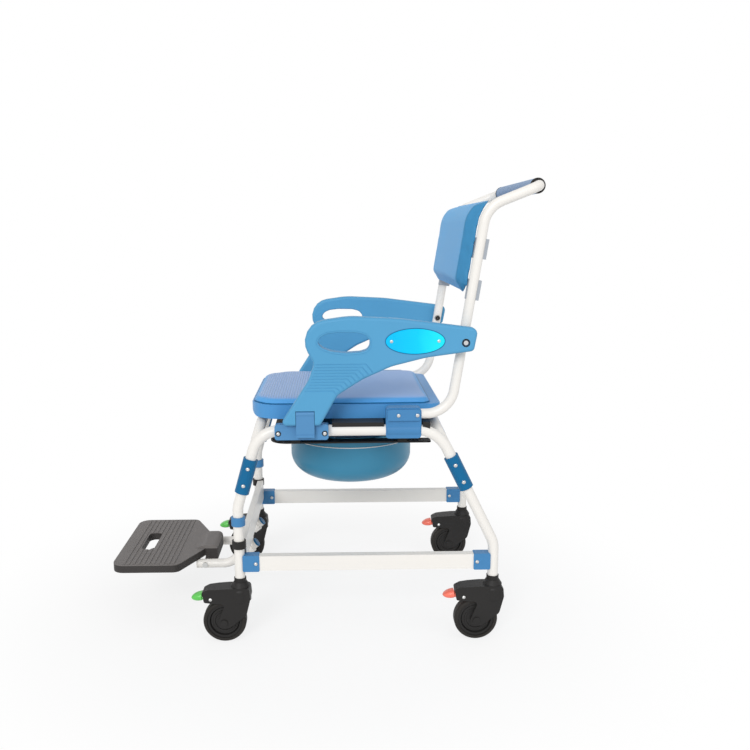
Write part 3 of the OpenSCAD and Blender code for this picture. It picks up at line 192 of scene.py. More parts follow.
def blackRubber(name, colour):
    paint = Paint(name, Specular_IOR_Level=0.18)
    slow = paint.noise(30.0, 3.0)
    fine = paint.noise(1800.0, 2.0)
    paint.colour(paint.mottle(slow, colour, 0.7, 1.5))
    paint.rough(0.58 + (fine - 0.5) * 0.2 + (slow - 0.5) * 0.1)
    return paint.bump(fine, 0.0001)


# Soft skin of the pads, still without its colour: a leathery cell pattern under a satin face
def padSkin(name, sheen):
    paint = Paint(name, Sheen_Weight=sheen, Sheen_Roughness=0.5, Specular_IOR_Level=0.2)
    slow = paint.noise(7.0, 2.0)
    cells = paint.node("ShaderNodeTexVoronoi", {"feature": "DISTANCE_TO_EDGE"},
                       {"Vector": paint.where(), "Scale": 620.0})
    grain = cells.between(0.0, 0.09)
    paint.rough(0.50 + (slow - 0.5) * 0.12 - grain * 0.06)
    return paint, slow, grain


# Seat top: a violet painted sheen over the blue of the top, with fine cross ribs over the front part whose
# grooves get painted shade
def seatSkin(name, look):
    paint, _, grain = padSkin(name, 0.1)
    slow = paint.noise(5.0, 2.0)
    depth = paint.axis("Y")
    top = paint.axis("Z").between(look["rimZ"], look["topZ"])
    # painted sheen: the top of the lid turns violet where its sides stay blue
    topSheen = paint.shade(slow, look["violetLow"], look["violetHigh"])
    # painted shade in the grooves between the ribs: the same violet, darker
    ribShade = paint.shade(slow, tint(look["violetLow"], 0.74), tint(look["violetHigh"], 0.76))
    side = paint.mottle(slow, look["blue"], 0.92, 1.06)
    rib = (depth * (math.tau / look["ribPitch"])).calc("SINE") * 0.5 + 0.5
    front = (1 - depth.between(look["ribEnd"] - look["ribFade"], look["ribEnd"])) * top
    paint.colour(paint.shade(front * (1 - rib) * 0.8, paint.shade(top, side, topSheen), ribShade))
    return paint.bump(rib * front * 0.9 + grain * 0.06, look["ribDepth"])


# Backrest: a darker band down both sides, painted shade
def backSkin(name, look):
    paint, slow, grain = padSkin(name, 0.0)
    mix = slow * 0.8 + grain * 0.2
    face = paint.mottle(mix, look["blue"], 0.9, 1.08)
    # painted shade: the sides of the pad take a darker blue than its face
    side = paint.mottle(mix, look["shadeBand"], 0.9, 1.08)
    start, full = look["half"] - look["wide"], look["half"] - look["wide"] * 0.8
    paint.colour(paint.shade(paint.axis("X").calc("ABSOLUTE").between(start, full), face, side))
    return paint.bump(grain, 0.00008)


# Footplate: the tread face is paler than the edges and the bottoms of the grooves, which get painted shade
def treadSkin(name, look):
    paint = Paint(name, Specular_IOR_Level=0.2)
    fine = paint.noise(1300.0, 2.0)
    slow = paint.noise(9.0, 2.0)
    # painted shade: the edges and groove bottoms below the tread face take the darker colour
    top = paint.axis("Z").between(look["top"] - look["deep"], look["top"] - look["deep"] * 0.3)
    edge = paint.mottle(slow, look["edge"], 0.85, 1.15)
    face = paint.mottle(slow * 0.6 + fine * 0.4, look["face"], 0.85, 1.15)
    paint.colour(paint.shade(top, edge, face))
    paint.rough(0.55 + (fine - 0.5) * 0.16 + (slow - 0.5) * 0.08)
    return paint.bump(fine, 0.0002)


# Bare oval plate: the cyan runs from deep to pale across its length, a painted highlight at the pale end
def cyanPlate(name, look):
    paint = Paint(name, Coat_Weight=0.1, Coat_Roughness=0.1, Specular_IOR_Level=0.15)
    slow = paint.noise(40.0, 2.0)
    # painted highlight: the colour pales towards one end of the plate
    highlightRun = paint.axis("Y").between(look["y0"], look["y1"]) * 0.85 + slow * 0.15
    stops = {"stops": [(0.0, look["deep"]), (0.55, look["mid"]), (1.0, look["paleHighlight"])]}
    paint.colour(paint.node("ShaderNodeValToRGB", stops, {0: highlightRun}))
    paint.rough(0.24 + (slow - 0.5) * 0.08)
    return paint.bump(paint.noise(1500.0, 1.0), 0.00002)


plateLow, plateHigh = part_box("armrest_plate_left")
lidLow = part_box("seat_lid")[0].z
plateLook = {"y0": plateLow.y, "y1": plateHigh.y, "deep": (0.0, 0.48, 0.86), "mid": (0.0, 0.57, 0.88),
             "paleHighlight": (0.012, 0.78, 0.88)}
seatLook = {"blue": (0.088, 0.350, 0.720), "violetLow": (0.235, 0.390, 0.710),
            "violetHigh": (0.315, 0.485, 0.780), "rimZ": lidLow + 0.0095, "topZ": lidLow + 0.0130,
            "ribPitch": 0.006, "ribEnd": 0.03, "ribFade": 0.03, "ribDepth": 0.0008}
backLook = {"blue": (0.098, 0.385, 0.720), "shadeBand": (0.045, 0.235, 0.450), "half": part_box("backrest_pad")[1].x,
            "wide": 0.034}
treadLook = {"face": (0.170, 0.157, 0.152), "edge": (0.045, 0.041, 0.040), "top": 0.1516, "deep": 0.002}
finishes = {
    "tube": coatedTube("coated_tube", (0.80, 0.775, 0.735)),
    "sleeve": mouldedPlastic("sleeve_blue", (0.004, 0.122, 0.280), 0.38, gloss=0.18),
    "bracket": mouldedPlastic("bracket_blue", (0.056, 0.212, 0.440), 0.40, gloss=0.25),
    "arm": mouldedPlastic("armrest_blue", (0.085, 0.318, 0.545), 0.46, grain=1100.0, depth=0.00016, drift=0.05,
                          gloss=0.22),
    "violet": mouldedPlastic("base_violet_blue", (0.082, 0.245, 0.470), 0.42, drift=0.07, gloss=0.22),
    "shell": mouldedPlastic("seat_shell_blue", (0.070, 0.285, 0.600), 0.36, drift=0.06, gloss=0.3),
    "seat": seatSkin("seat_lid_skin", seatLook),
    "back": backSkin("backrest_skin", backLook),
    "bucket": mouldedPlastic("bucket_teal", (0.040, 0.222, 0.365), 0.34, grain=900.0, depth=0.00006, gloss=0.3),
    "black": mouldedPlastic("black_plastic", (0.021, 0.020, 0.0195), 0.46, drift=0.25, gloss=0.18),
    "tread": treadSkin("footplate_grey", treadLook),
    "clip": mouldedPlastic("clip_grey", (0.330, 0.360, 0.400), 0.45),
    "grip": mouldedPlastic("grip_blue_grey", (0.235, 0.345, 0.520), 0.62, grain=700.0, depth=0.0003),
    "steel": platedSteel("plated_steel", (0.66, 0.66, 0.65)),
    "tyre": blackRubber("tyre_rubber", (0.021, 0.019, 0.017)),
    "wheel": mouldedPlastic("wheel_centre", (0.022, 0.021, 0.0205), 0.42, drift=0.2, gloss=0.18),
    "green": mouldedPlastic("pedal_green", (0.100, 0.530, 0.080), 0.34, coat=0.2),
    "red": mouldedPlastic("pedal_red", (0.850, 0.170, 0.110), 0.34, coat=0.2),
    "plate": cyanPlate("oval_plate_cyan", plateLook),
}
sideTubes = ["side_frame_", "front_leg_", "rear_leg_", "side_rail_", "footrest_arm_"]
nodeFinishes = {
    "tube": ["front_cross_tube", "rear_cross_tube", "front_crossbar", "back_frame"]
            + [tube + side for tube in sideTubes for side in sides],
    "sleeve": ["front_sleeves", "rear_sleeves", "footrest_arm_plugs"],
    "bracket": ["back_bracket_left", "back_bracket_right", "rail_end_caps", "leg_collars"],
    "violet": ["armrest_base_left", "armrest_base_right", "armrest_latch_left", "armrest_latch_right"],
    "arm": ["armrest_left", "armrest_right"],
    "shell": ["seat_base", "seat_lid"],
    "back": ["backrest_pad"],
    "bucket": ["bucket"],
    "black": ["crossbar_clamps", "seat_clips", "bucket_guide", "caster_stems"] + [c + "_fork" for c in corners],
    "tread": ["footplate"],
    "clip": ["backrest_clips"],
    "grip": ["handle_grip"],
    "steel": ["footplate_pin", "frame_bolts", "armrest_pivots"],
    "tyre": [c + "_tyre" for c in corners],
    "wheel": [c + "_wheel" for c in corners],
    "green": ["front_left_pedal", "front_right_pedal"],
    "red": ["rear_left_pedal", "rear_right_pedal"],
    "plate": ["armrest_plate_left", "armrest_plate_right"],
}
for finish, names in nodeFinishes.items():
    for name in names:
        nodes[name].data.materials.clear()
        nodes[name].data.materials.append(finishes[finish].material)
print("finishes on", sum(len(names) for names in nodeFinishes.values()), "nodes")


# Mesh tools, in metres
def addPiece(name, mesh, finish, weld=False):
    made = bmesh.new()
    made.from_mesh(mesh)
    if weld:
        bmesh.ops.remove_doubles(made, verts=made.verts, dist=weldWithin)
    bmesh.ops.recalc_face_normals(made, faces=made.faces)
    made.to_mesh(mesh)
    made.free()
    mesh.materials.clear()
    mesh.materials.append(finishes[finish].material)
    piece = bpy.data.objects.new(name, mesh)
    bpy.context.scene.collection.objects.link(piece)
    return piece


def newPiece(name, verts, faces, finish):
    mesh = bpy.data.meshes.new(name)
    mesh.from_pydata([tuple(v) for v in verts], [], faces)
    return addPiece(name, mesh, finish)


def copyNode(name, node, finish):  # the CAD solid's shape as a welded mesh of its own
    mesh = nodes[node].data.copy()
    mesh.name = name
    return addPiece(name, mesh, finish, True)


def settle(piece):  # applies the modifiers
    graph = bpy.context.evaluated_depsgraph_get()
    graph.update()
    mesh = bpy.data.meshes.new_from_object(piece.evaluated_get(graph))
    piece.modifiers.clear()
    mesh.name = piece.name
    piece.data = mesh


def softShade(piece, degrees=32):
    piece.data.shade_smooth()
    piece.data.set_sharp_from_angle(angle=math.radians(degrees))
    even = piece.modifiers.new("even", "WEIGHTED_NORMAL")
    even.keep_sharp = True
    settle(piece)
    return piece


def carve(piece, cutters):
    for cutter in cutters:
        cut = piece.modifiers.new("cut", "BOOLEAN")
        cut.operation = "DIFFERENCE"
        cut.solver = "EXACT"
        cut.object = cutter
        settle(piece)
        bpy.data.objects.remove(cutter)


def dress(piece, body, slot, *replaced):
    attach(piece, body)
    if replaced:
        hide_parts(*replaced)
    return piece


def roundCorners(turns, steps):  # outline of (u, v, radius) corners with arcs
    points = [Vector(turn[:2]) for turn in turns]
    outline = []
    for i, here in enumerate(points):
        before = (points[i - 1] - here).normalized()
        after = (points[(i + 1) % len(points)] - here).normalized()
        half = before.angle(after) / 2
        reach = turns[i][2] / math.tan(half)
        start, end = here + before * reach, here + after * reach
        for k in range(steps + 1):  # conic through the corner, close to an arc
            t = k / steps
            a, b, c = (1 - t) ** 2, 2 * t * (1 - t) * math.sin(half), t ** 2
            outline.append((start * a + here * b + end * c) / (a + b + c))
    return outline


def drawIn(outline, by):  # outline moved in by a distance, point for point
    count = len(outline)
    turn = sum(outline[i - 1].x * outline[i].y - outline[i].x * outline[i - 1].y for i in range(count))
    sign = 1 if turn > 0 else -1
    moved = []
    for i, here in enumerate(outline):
        a = (here - outline[i - 1]).normalized()
        b = (outline[(i + 1) % count] - here).normalized()
        along = (a + b).normalized()
        across = Vector((-along.y, along.x)) * sign
        moved.append(here + across * (by / max(0.5, along.dot(b))))  # at most twice as far at a sharp corner
    return moved


def addRings(verts, faces, rings, closed=False):  # skin through equal rings, capped or joined end to end
    base, count = len(verts), len(rings[0])
    verts += [v for ring in rings for v in ring]
    if not closed:
        faces += [tuple(range(base, base + count)), tuple(range(len(verts) - count, len(verts)))]
    for r in range(len(rings) if closed else len(rings) - 1):
        a, b = base + r * count, base + (r + 1) % len(rings) * count
        for i in range(count):
            j = (i + 1) % count
            faces.append((a + i, a + j, b + j, b + i))


def loft(name, rings, finish, closed=False):
    verts, faces = [], []
    addRings(verts, faces, rings, closed)
    return newPiece(name, verts, faces, finish)


def turned(name, profile, centre, finish, upright=False, count=64):  # (radius, along) pairs turned about X or Z
    turns = [(math.cos(math.tau * k / count), math.sin(math.tau * k / count)) for k in range(count)]
    rings = []
    for r, x in profile:
        spots = [(r * c, r * s, x) if upright else (x, r * c, r * s) for c, s in turns]
        rings.append([centre + Vector(spot) for spot in spots])
    return loft(name, rings, finish, closed=True)


def bead(name, path, r, finish, normal=(1, 0, 0), count=8):  # round bead along a closed path in a plane
    normal = Vector(normal)
    turns = [math.tau * (k + 0.5) / count for k in range(count)]
    rings = []
    for i, here in enumerate(path):
        along = (path[(i + 1) % len(path)] - path[i - 1]).normalized()
        side = along.cross(normal)
        rings.append([here + side * (r * math.cos(a)) + normal * (r * math.sin(a)) for a in turns])
    return loft(name, rings, finish, closed=True)


def inMetres(profile, way=1):
    return [(r * mm, way * x * mm) for r, x in profile]


# Armrest: one moulding with a rolled edge, a lipped hand hole, kinked grooves and pockets for its fittings
armLook = {
    # corners seen from the side in mm: along the chair, above the foot, radius
    "corners": [(-78, 0, 8), (10.5, 0, 8), (49, 67, 30), (104, 101.5, 80), (165, 128.5, 120), (240, 147, 250),
                (341, 160, 10), (350, 208.5, 14), (180, 231, 400), (75, 236.8, 200), (-48, 220, 47),
                (-1, 137, 18), (-13, 100, 80)],
    "edge": 7.0, "steps": 6,
    "hole": [(7, 180.5, 8), (12.6, 193.1, 20), (28.2, 200.2, 25), (51.6, 203, 60), (90.6, 202.2, 40),
             (110, 197, 20), (118.7, 185.2, 14), (118.7, 175.3, 14), (114, 165.5, 14), (98.4, 160.7, 25),
             (67.2, 158.8, 80), (36, 162.7, 60), (16.5, 170.6, 25)],
    "holeLip": 3.0, "holeOver": 1.0, "lineOut": 4.2, "lineRound": 0.7,
    "grooves": 10, "groovePitch": 6.4, "grooveTop": 134.5, "grooveStart": -60, "grooveRound": 1.5,
    "grooveSides": 8, "grooveLift": 0.35, "kinkTop": 110, "kinkStep": 7.8, "fallAngle": 50, "fallLong": 60,
    "cutOver": 2.0, "plateGap": 0.5, "plateUnder": 0.05, "pivotRound": 7.3, "pivotDeep": 5.0, "latchGap": 0.8,
    "rimRound": 0.8,
    # (radius, along) of the ring round the pivot bolt and of the cap on its nut
    "ring": [(6.9, 0), (8.8, 0), (8.8, 0.48), (8.48, 0.8), (6.9, 0.8)],
    "nut": [(0.4, -0.8), (5.18, -0.8), (7.4, 0.6), (7.4, 6.6), (0.4, 6.6)],
}
ovalSides = 48
ovalTurns = [math.tau * k / ovalSides for k in range(ovalSides)]
ovalSpots = [Vector((math.cos(a), math.sin(a))) for a in ovalTurns]


def armPlace(side, sign, look):  # faces, foot, pivot and plate of one armrest
    low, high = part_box("armrest_" + side)
    inner, outer = (low.x, high.x) if sign > 0 else (high.x, low.x)
    plateLow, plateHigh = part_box("armrest_plate_" + side)
    gap = look["plateGap"] * mm
    return {"side": side, "sign": sign, "inner": inner, "outer": outer, "foot": low.z,
            "proud": outer + sign * look["cutOver"] * mm, "pivot": jointPlace("armrest_" + side + "_flip"),
            "plate": (plateLow + plateHigh) / 2, "plateBack": plateLow.x if sign > 0 else plateHigh.x,
            "halfLong": (plateHigh.y - plateLow.y) / 2 + gap, "halfHigh": (plateHigh.z - plateLow.z) / 2 + gap}


def sideRing(arm, outline, x):
    return [Vector((x, p.x * mm, arm["foot"] + p.y * mm)) for p in outline]


def ovalRing(x, centre, halfLong, halfHigh):
    return [Vector((x, centre.y + p.x * halfLong, centre.z + p.y * halfHigh)) for p in ovalSpots]


def rolledEdge(r, steps=5):  # (in, deep) pairs round a quarter turn, from the face to the side
    quarter = [math.radians(90 * k / steps) for k in range(steps + 1)]
    return [(r * (1 - math.sin(a)), r * (1 - math.cos(a))) for a in quarter]


def throughSlab(arm, outline, lips, way):  # rings from the inner face to the outer one
    sign = arm["sign"]
    near = [sideRing(arm, drawIn(outline, way * by), arm["inner"] + sign * deep * mm) for by, deep in lips]
    far = [sideRing(arm, drawIn(outline, way * by), arm["outer"] - sign * deep * mm) for by, deep in lips[::-1]]
    return near + far


def handHole(arm, look):  # hole with a rolled lip on both faces, and the line round it
    hole = roundCorners(look["hole"], look["steps"])
    lip, over = look["holeLip"], look["holeOver"]
    cutter = loft("hole", throughSlab(arm, hole, [(lip + over, -over)] + rolledEdge(lip), -1), "arm")
    line = sideRing(arm, drawIn(hole, -look["lineOut"]), arm["outer"])
    return [cutter, bead("hole_line", line, look["lineRound"] * mm, "arm")]


def armGrooves(arm, look):  # level from the front edge and then falling to the under edge
    fall, long, r = math.radians(look["fallAngle"]), look["fallLong"], look["grooveRound"]
    turns = [math.tau * (j + 0.5) / look["grooveSides"] for j in range(look["grooveSides"])]
    verts, faces = [], []
    for k in range(look["grooves"]):
        v = look["grooveTop"] - k * look["groovePitch"]
        kink = look["kinkTop"] - k * look["kinkStep"]
        low = (kink + long * math.cos(fall), v - long * math.sin(fall))
        stations = [((look["grooveStart"], v), 0, 1), ((kink, v), fall / 2, math.cos(fall / 2)), (low, fall, 1)]
        rings = []
        for (u, w), tilt, mitre in stations:
            ring = []
            for a in turns:
                out = r * math.cos(a) + look["grooveLift"]
                up = r * math.sin(a) / mitre
                ring.append(Vector((arm["outer"] + arm["sign"] * out * mm, (u + up * math.sin(tilt)) * mm,
                                    arm["foot"] + (w + up * math.cos(tilt)) * mm)))
            rings.append(ring)
        addRings(verts, faces, rings)
    return [newPiece("grooves", verts, faces, "arm")]


def armPockets(arm, look):  # for the oval plate, the pivot bolt and the latch
    sign, proud = arm["sign"], arm["proud"]
    back = arm["plateBack"] - sign * look["plateUnder"] * mm
    plate = [ovalRing(x, arm["plate"], arm["halfLong"], arm["halfHigh"]) for x in (back, proud)]
    r = look["pivotRound"] * mm
    pivot = [ovalRing(x, arm["pivot"], r, r) for x in (arm["outer"] - sign * look["pivotDeep"] * mm, proud)]
    low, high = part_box("armrest_latch_" + arm["side"])
    gap = look["latchGap"] * mm
    back = (low.x - gap) if sign > 0 else (high.x + gap)
    y0, y1, z0, z1 = low.y - gap, high.y + gap, arm["foot"] - look["cutOver"] * mm, high.z + gap
    latch = [[Vector((x, y, z)) for y, z in ((y0, z0), (y1, z0), (y1, z1), (y0, z1))] for x in (back, proud)]
    pockets = {"plate_pocket": plate, "pivot_pocket": pivot, "latch_pocket": latch}
    return [loft(name, rings, "arm") for name, rings in pockets.items()]


def armTrim(arm, look):  # blue rim of the plate, dark ring round the pivot bolt and dark cap on its nut
    side, sign, pivot = arm["side"], arm["sign"], arm["pivot"]
    path = ovalRing(arm["outer"], arm["plate"], arm["halfLong"], arm["halfHigh"])
    rim = softShade(bead("plate_rim_" + side, path, look["rimRound"] * mm, "sleeve"))
    dress(rim, "armrest_" + side, "blue_plastic")
    seat = Vector((arm["outer"], pivot.y, pivot.z))
    ring = softShade(turned("pivot_ring_" + side, inMetres(look["ring"], sign), seat, "black"))
    dress(ring, "armrest_" + side, "black_plastic")
    inward = min(abs(v.co.x) for v in nodes["armrest_pivots"].data.vertices)
    seat = Vector((sign * inward, pivot.y, pivot.z))
    nut = softShade(turned("pivot_nut_" + side, inMetres(look["nut"], sign), seat, "black", count=32))
    dress(nut, "frame", "black_plastic")


def armrest(side, sign, look):
    arm = armPlace(side, sign, look)
    outline = roundCorners(look["corners"], look["steps"])
    piece = loft("armrest_shell_" + side, throughSlab(arm, outline, rolledEdge(look["edge"]), 1), "arm")
    carve(piece, handHole(arm, look) + armGrooves(arm, look) + armPockets(arm, look))
    dress(softShade(piece), "armrest_" + side, "pad_blue", "armrest_" + side)
    armTrim(arm, look)


for side, sign in sides.items():
    armrest(side, sign, armLook)
print("armrests lofted and carved")

# Pads: the solid's own form, drawn in a little, remeshed and blown up as cloth
lidLook = {"node": "seat_lid", "body": "seat_lid", "slot": "seat_blue", "rests": (0, 0, -1), "drawIn": 0.003,
           "voxel": 0.006, "pressure": 4.0, "cap": 0.0035, "fill": 0.8}
cushionLook = {"node": "backrest_pad", "body": "frame", "slot": "pad_blue", "rests": (0, 1, 0), "drawIn": 0.008,
               "voxel": 0.005, "pressure": 4.0, "cap": 0.004, "fill": 0.8}
clothSteps = 20
flatFrom = 0.5  # a point whose normal goes this far along the resting side stays put


def blowUp(piece, look, rests):
    start = [v.co.copy() for v in piece.data.vertices]
    facing = [v.normal.dot(rests) for v in piece.data.vertices]
    cloth = piece.modifiers.new("plump", "CLOTH")
    cloth.settings.use_pressure = True
    cloth.settings.uniform_pressure_force = look["pressure"]
    cloth.settings.effector_weights.gravity = 0.0
    for step in range(1, clothSteps + 1):
        bpy.context.scene.frame_set(step)
    graph = bpy.context.evaluated_depsgraph_get()
    blown = [v.co.copy() for v in piece.evaluated_get(graph).data.vertices]
    piece.modifiers.clear()
    for v, a, b, f in zip(piece.data.vertices, start, blown, facing):
        move = b - a
        if move.length > look["cap"]:
            move *= look["cap"] / move.length
        v.co = a if f > flatFrom else a + move
    bpy.context.scene.frame_set(1)


def plumpPad(name, look, finish):
    piece = copyNode(name, look["node"], finish)
    rests = Vector(look["rests"])
    made = bmesh.new()
    made.from_mesh(piece.data)
    made.normal_update()
    shift = {v.index: v.normal * look["drawIn"] for v in made.verts if v.normal.dot(rests) < flatFrom}
    for v in made.verts:
        v.co -= shift.get(v.index, Vector((0, 0, 0)))
    made.to_mesh(piece.data)
    made.free()
    remesh = piece.modifiers.new("remesh", "REMESH")
    remesh.mode = "VOXEL"
    remesh.voxel_size = look["voxel"]
    settle(piece)
    blowUp(piece, look, rests)
    finer = piece.modifiers.new("finer", "SUBSURF")
    finer.levels = 1
    settle(piece)
    piece.data.shade_smooth()
    dress(piece, look["body"], look["slot"], look["node"])
    return piece


lidPad = plumpPad("seat_lid_pad", lidLook, "seat")
plumpPad("backrest_cushion", cushionLook, "back")
print("pads blown up")

# Mouldings whose edges are rounded over: finish, round in metres, its steps, body and slot
moulded = {
    "seat_base": ("shell", 0.005, 4, "frame", "seat_blue"),
    "footplate": ("tread", 0.0016, 2, "footplate", "black_plastic"),
    "bucket_guide": ("black", 0.0008, 2, "frame", "black_plastic"),
    "front_crossbar": ("tube", 0.0020, 3, "frame", "white_tube"),
    "rail_end_caps": ("bracket", 0.0010, 2, "frame", "blue_plastic"),
    "front_sleeves": ("sleeve", 0.0009, 2, "frame", "blue_plastic"),
    "rear_sleeves": ("sleeve", 0.0009, 2, "frame", "blue_plastic"),
    "leg_collars": ("bracket", 0.0009, 2, "frame", "blue_plastic"),
    "crossbar_clamps": ("black", 0.0010, 2, "frame", "black_plastic"),
    "backrest_clips": ("clip", 0.0026, 3, "frame", "grey_clip"),
    "caster_stems": ("black", 0.0010, 2, "frame", "black_plastic"),
}
for side in sides:
    moulded["side_rail_" + side] = ("tube", 0.0020, 3, "frame", "white_tube")
    moulded["back_bracket_" + side] = ("bracket", 0.0020, 3, "frame", "blue_plastic")
    moulded["armrest_base_" + side] = ("violet", 0.0015, 3, "frame", "violet_plastic")
    moulded["armrest_latch_" + side] = ("violet", 0.0012, 3, "latch_" + side, "violet_plastic")
for corner in corners:
    moulded[corner + "_fork"] = ("black", 0.0040, 4, corner + "_swivel", "black_plastic")
edgeLook = {"flatWithin": 0.5, "sharpFrom": 40}  # degrees between faces
baseLook = {"inside": 0.23, "from": 0.512, "over": 0.008, "drop": 0.006}


def slopeTop(piece, look):  # the top of an armrest base falls towards the inside
    for v in piece.data.vertices:
        if abs(v.co.x) < look["inside"] and v.co.z > look["from"]:
            v.co.z -= look["drop"] * (v.co.z - look["from"]) / look["over"]


def roundOver(node, finish, edge, steps, body, slot):
    piece = copyNode(node + "_moulding", node, finish)
    flat = piece.modifiers.new("flat", "DECIMATE")
    flat.decimate_type = "DISSOLVE"
    flat.angle_limit = math.radians(edgeLook["flatWithin"])
    settle(piece)
    if node.startswith("armrest_base"):
        slopeTop(piece, baseLook)
    bevel = piece.modifiers.new("round", "BEVEL")
    bevel.width = edge
    bevel.segments = steps
    bevel.limit_method = "ANGLE"
    bevel.angle_limit = math.radians(edgeLook["sharpFrom"])
    bevel.use_clamp_overlap = True
    settle(piece)
    dress(softShade(piece, edgeLook["sharpFrom"]), body, slot, node)


for node, look in moulded.items():
    roundOver(node, *look)
print("mouldings rounded over:", len(moulded))

# Brake pedals in mm from the pivot: a leaf that swells from its tip, on a tongue in the slot of the fork
pedalLook = {"heel": -5, "root": 21.5, "reach": 46.5, "halfWide": 14.5, "halfHigh": 9.5, "rise": 3.0,
             "fall": 4.0, "tongueWide": 10.8, "tongueHigh": 5.6, "square": 2.6, "tip": 0.985, "full": 2.4,
             "thin": 1.3, "steps": 12, "round": 32, "sharpFrom": 50}


def pedal(corner, look):
    rivet = jointPlace(corner + "_brake")
    power = 2 / look["square"]

    def section(ahead, wide, high, rise):
        spots = []
        for k in range(look["round"]):
            a = math.tau * k / look["round"]
            c, s = math.cos(a), math.sin(a)
            x = math.copysign(abs(c) ** power, c) * wide
            z = math.copysign(abs(s) ** power, s) * high + rise
            spots.append(rivet + Vector((x, -ahead, z)) * mm)
        return spots

    rings = [section(y, look["tongueWide"], look["tongueHigh"], 0) for y in (look["heel"], look["root"])]
    for k in range(look["steps"] + 1):
        t = k / look["steps"]
        swell = math.sqrt(max(0.0, 1 - (look["tip"] * t) ** look["full"]))
        ahead = look["root"] + t * (look["reach"] - look["root"])
        rings.append(section(ahead, look["halfWide"] * swell, look["halfHigh"] * swell ** look["thin"],
                             look["rise"] - look["fall"] * t))
    colour = "green" if "front" in corner else "red"
    piece = softShade(loft(corner + "_pedal_leaf", rings, colour), look["sharpFrom"])
    dress(piece, corner + "_pedal", "pedal_green", corner + "_pedal")


# Wheels: a stepped disc in the recess of each centre; forks: a bright rivet on both sides of the pedal arm
wheelLook = {"profile": [(5.5, 12.5), (12, 12.5), (13, 10), (21.5, 9.2), (22.5, 10.6), (26.5, 10.6),
                         (27.5, 9.2), (32.3, 8.5)]}
rivetLook = {"out": 19.9, "profile": [(0.3, 0), (3.8, 0), (3.8, 0.5), (3.0, 1.3), (1.6, 1.8), (0.3, 1.9)]}


def wheelDisc(corner, look):
    profile = inMetres(look["profile"]) + inMetres(look["profile"][::-1], -1)
    disc = turned(corner + "_disc", profile, jointPlace(corner + "_spin"), "wheel")
    dress(softShade(disc), corner + "_wheel", "wheel_grey")


def pedalRivets(corner, look):
    for name, out in (("_rivet_out", 1), ("_rivet_in", -1)):
        seat = jointPlace(corner + "_brake") + Vector((out * look["out"] * mm, 0, 0))
        rivet = turned(corner + name, inMetres(look["profile"], out), seat, "steel", count=32)
        dress(softShade(rivet), corner + "_swivel", "steel")


for corner in corners:
    pedal(corner, pedalLook)
    wheelDisc(corner, wheelLook)
    pedalRivets(corner, rivetLook)
print("pedals, wheel discs and rivets in")

# Bucket with its floor drawn up a little and a pale bead below the guide, a painted highlight on its rim
bucketLook = {"floorUp": 0.013, "beadOut": 0.0016, "beadIn": 0.0003, "beadHigh": 0.0026, "beadDrop": 0.0215,
              "clear": 0.1}


def bucketShell(look):
    low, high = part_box("bucket")
    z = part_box("bucket_guide")[0].z - look["beadDrop"]
    piece = copyNode("bucket_shell", "bucket", "bucket")
    share = 1 - look["floorUp"] / (z - low.z)
    for v in piece.data.vertices:
        if v.co.z < z:
            v.co.z = z - (z - v.co.z) * share
    dress(softShade(piece), "bucket", "bucket_teal", "bucket")
    middle = (low + high) / 2
    spot = piece.ray_cast(Vector((high.x + look["clear"], middle.y, z)), Vector((-1, 0, 0)))[1]
    wall = spot.x - middle.x
    sunk, out, tall = wall - look["beadIn"], wall + look["beadOut"], look["beadHigh"]
    # pale bead in the tube's off-white: a painted highlight along the bucket's rim
    profile = [(sunk, 0), (out, tall * 0.25), (out, tall * 0.75), (sunk, tall)]
    piece = turned("bucket_rim_highlight", profile, Vector((middle.x, middle.y, z - tall)), "tube", True, 96)
    dress(softShade(piece), "bucket", "bucket_teal")


# Dark bead where the lid meets the seat, along the lower edge of the blown pad: a painted shadow of the gap
# between them
gapShadowLook = {"round": 0.0011, "within": 0.0025, "out": 0.0005}


def lidGapShadow(pad, look):
    spots = [v.co.to_2d() for v in pad.data.vertices if v.co.z < lidLow + look["within"]]
    edge = drawIn([spots[i] for i in convex_hull_2d(spots)], -look["out"])
    path = [Vector((*spot, lidLow + look["round"])) for spot in edge]
    # painted shadow: a dark blue bead stands for the shade in the gap under the lid
    piece = bead("seat_lid_gap_shadow", path, look["round"], "sleeve", (0, 0, 1))
    dress(softShade(piece), "seat_lid", "seat_blue")


# Plugs of the footrest arms: white at the footplate, blue at the crossbar
plugLook = {"frontY": -0.25}


def armPlugs(look):
    piece = copyNode("footrest_plug_caps", "footrest_arm_plugs", "sleeve")
    piece.data.materials.append(finishes["tube"].material)
    for face in piece.data.polygons:
        face.material_index = int(face.center.y < look["frontY"])
    dress(softShade(piece), "frame", "blue_plastic", "footrest_arm_plugs")


# Dark ring at each end of the push grip
gripLook = {"long": 0.004, "over": 0.0003, "edge": 0.001, "innerShare": 0.70}


def gripRing(name, end, look):
    low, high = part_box("handle_grip")
    middle = (low + high) / 2
    outer = (high.z - low.z) / 2 + look["over"]
    inner, long, edge = outer * look["innerShare"], look["long"], look["edge"]
    profile = [(inner, 0), (outer - edge, 0), (outer, edge), (outer, long - edge), (outer - edge, long),
               (inner, long)]
    seat = Vector((high.x if end > 0 else low.x, middle.y, middle.z))
    piece = turned(name, [(r, end * x) for r, x in profile], seat, "black")
    dress(softShade(piece), "frame", "black_plastic")


bucketShell(bucketLook)
lidGapShadow(lidPad, gapShadowLook)
armPlugs(plugLook)
for side, end in sides.items():
    gripRing("grip_ring_" + side, end, gripLook)
print("trim in")

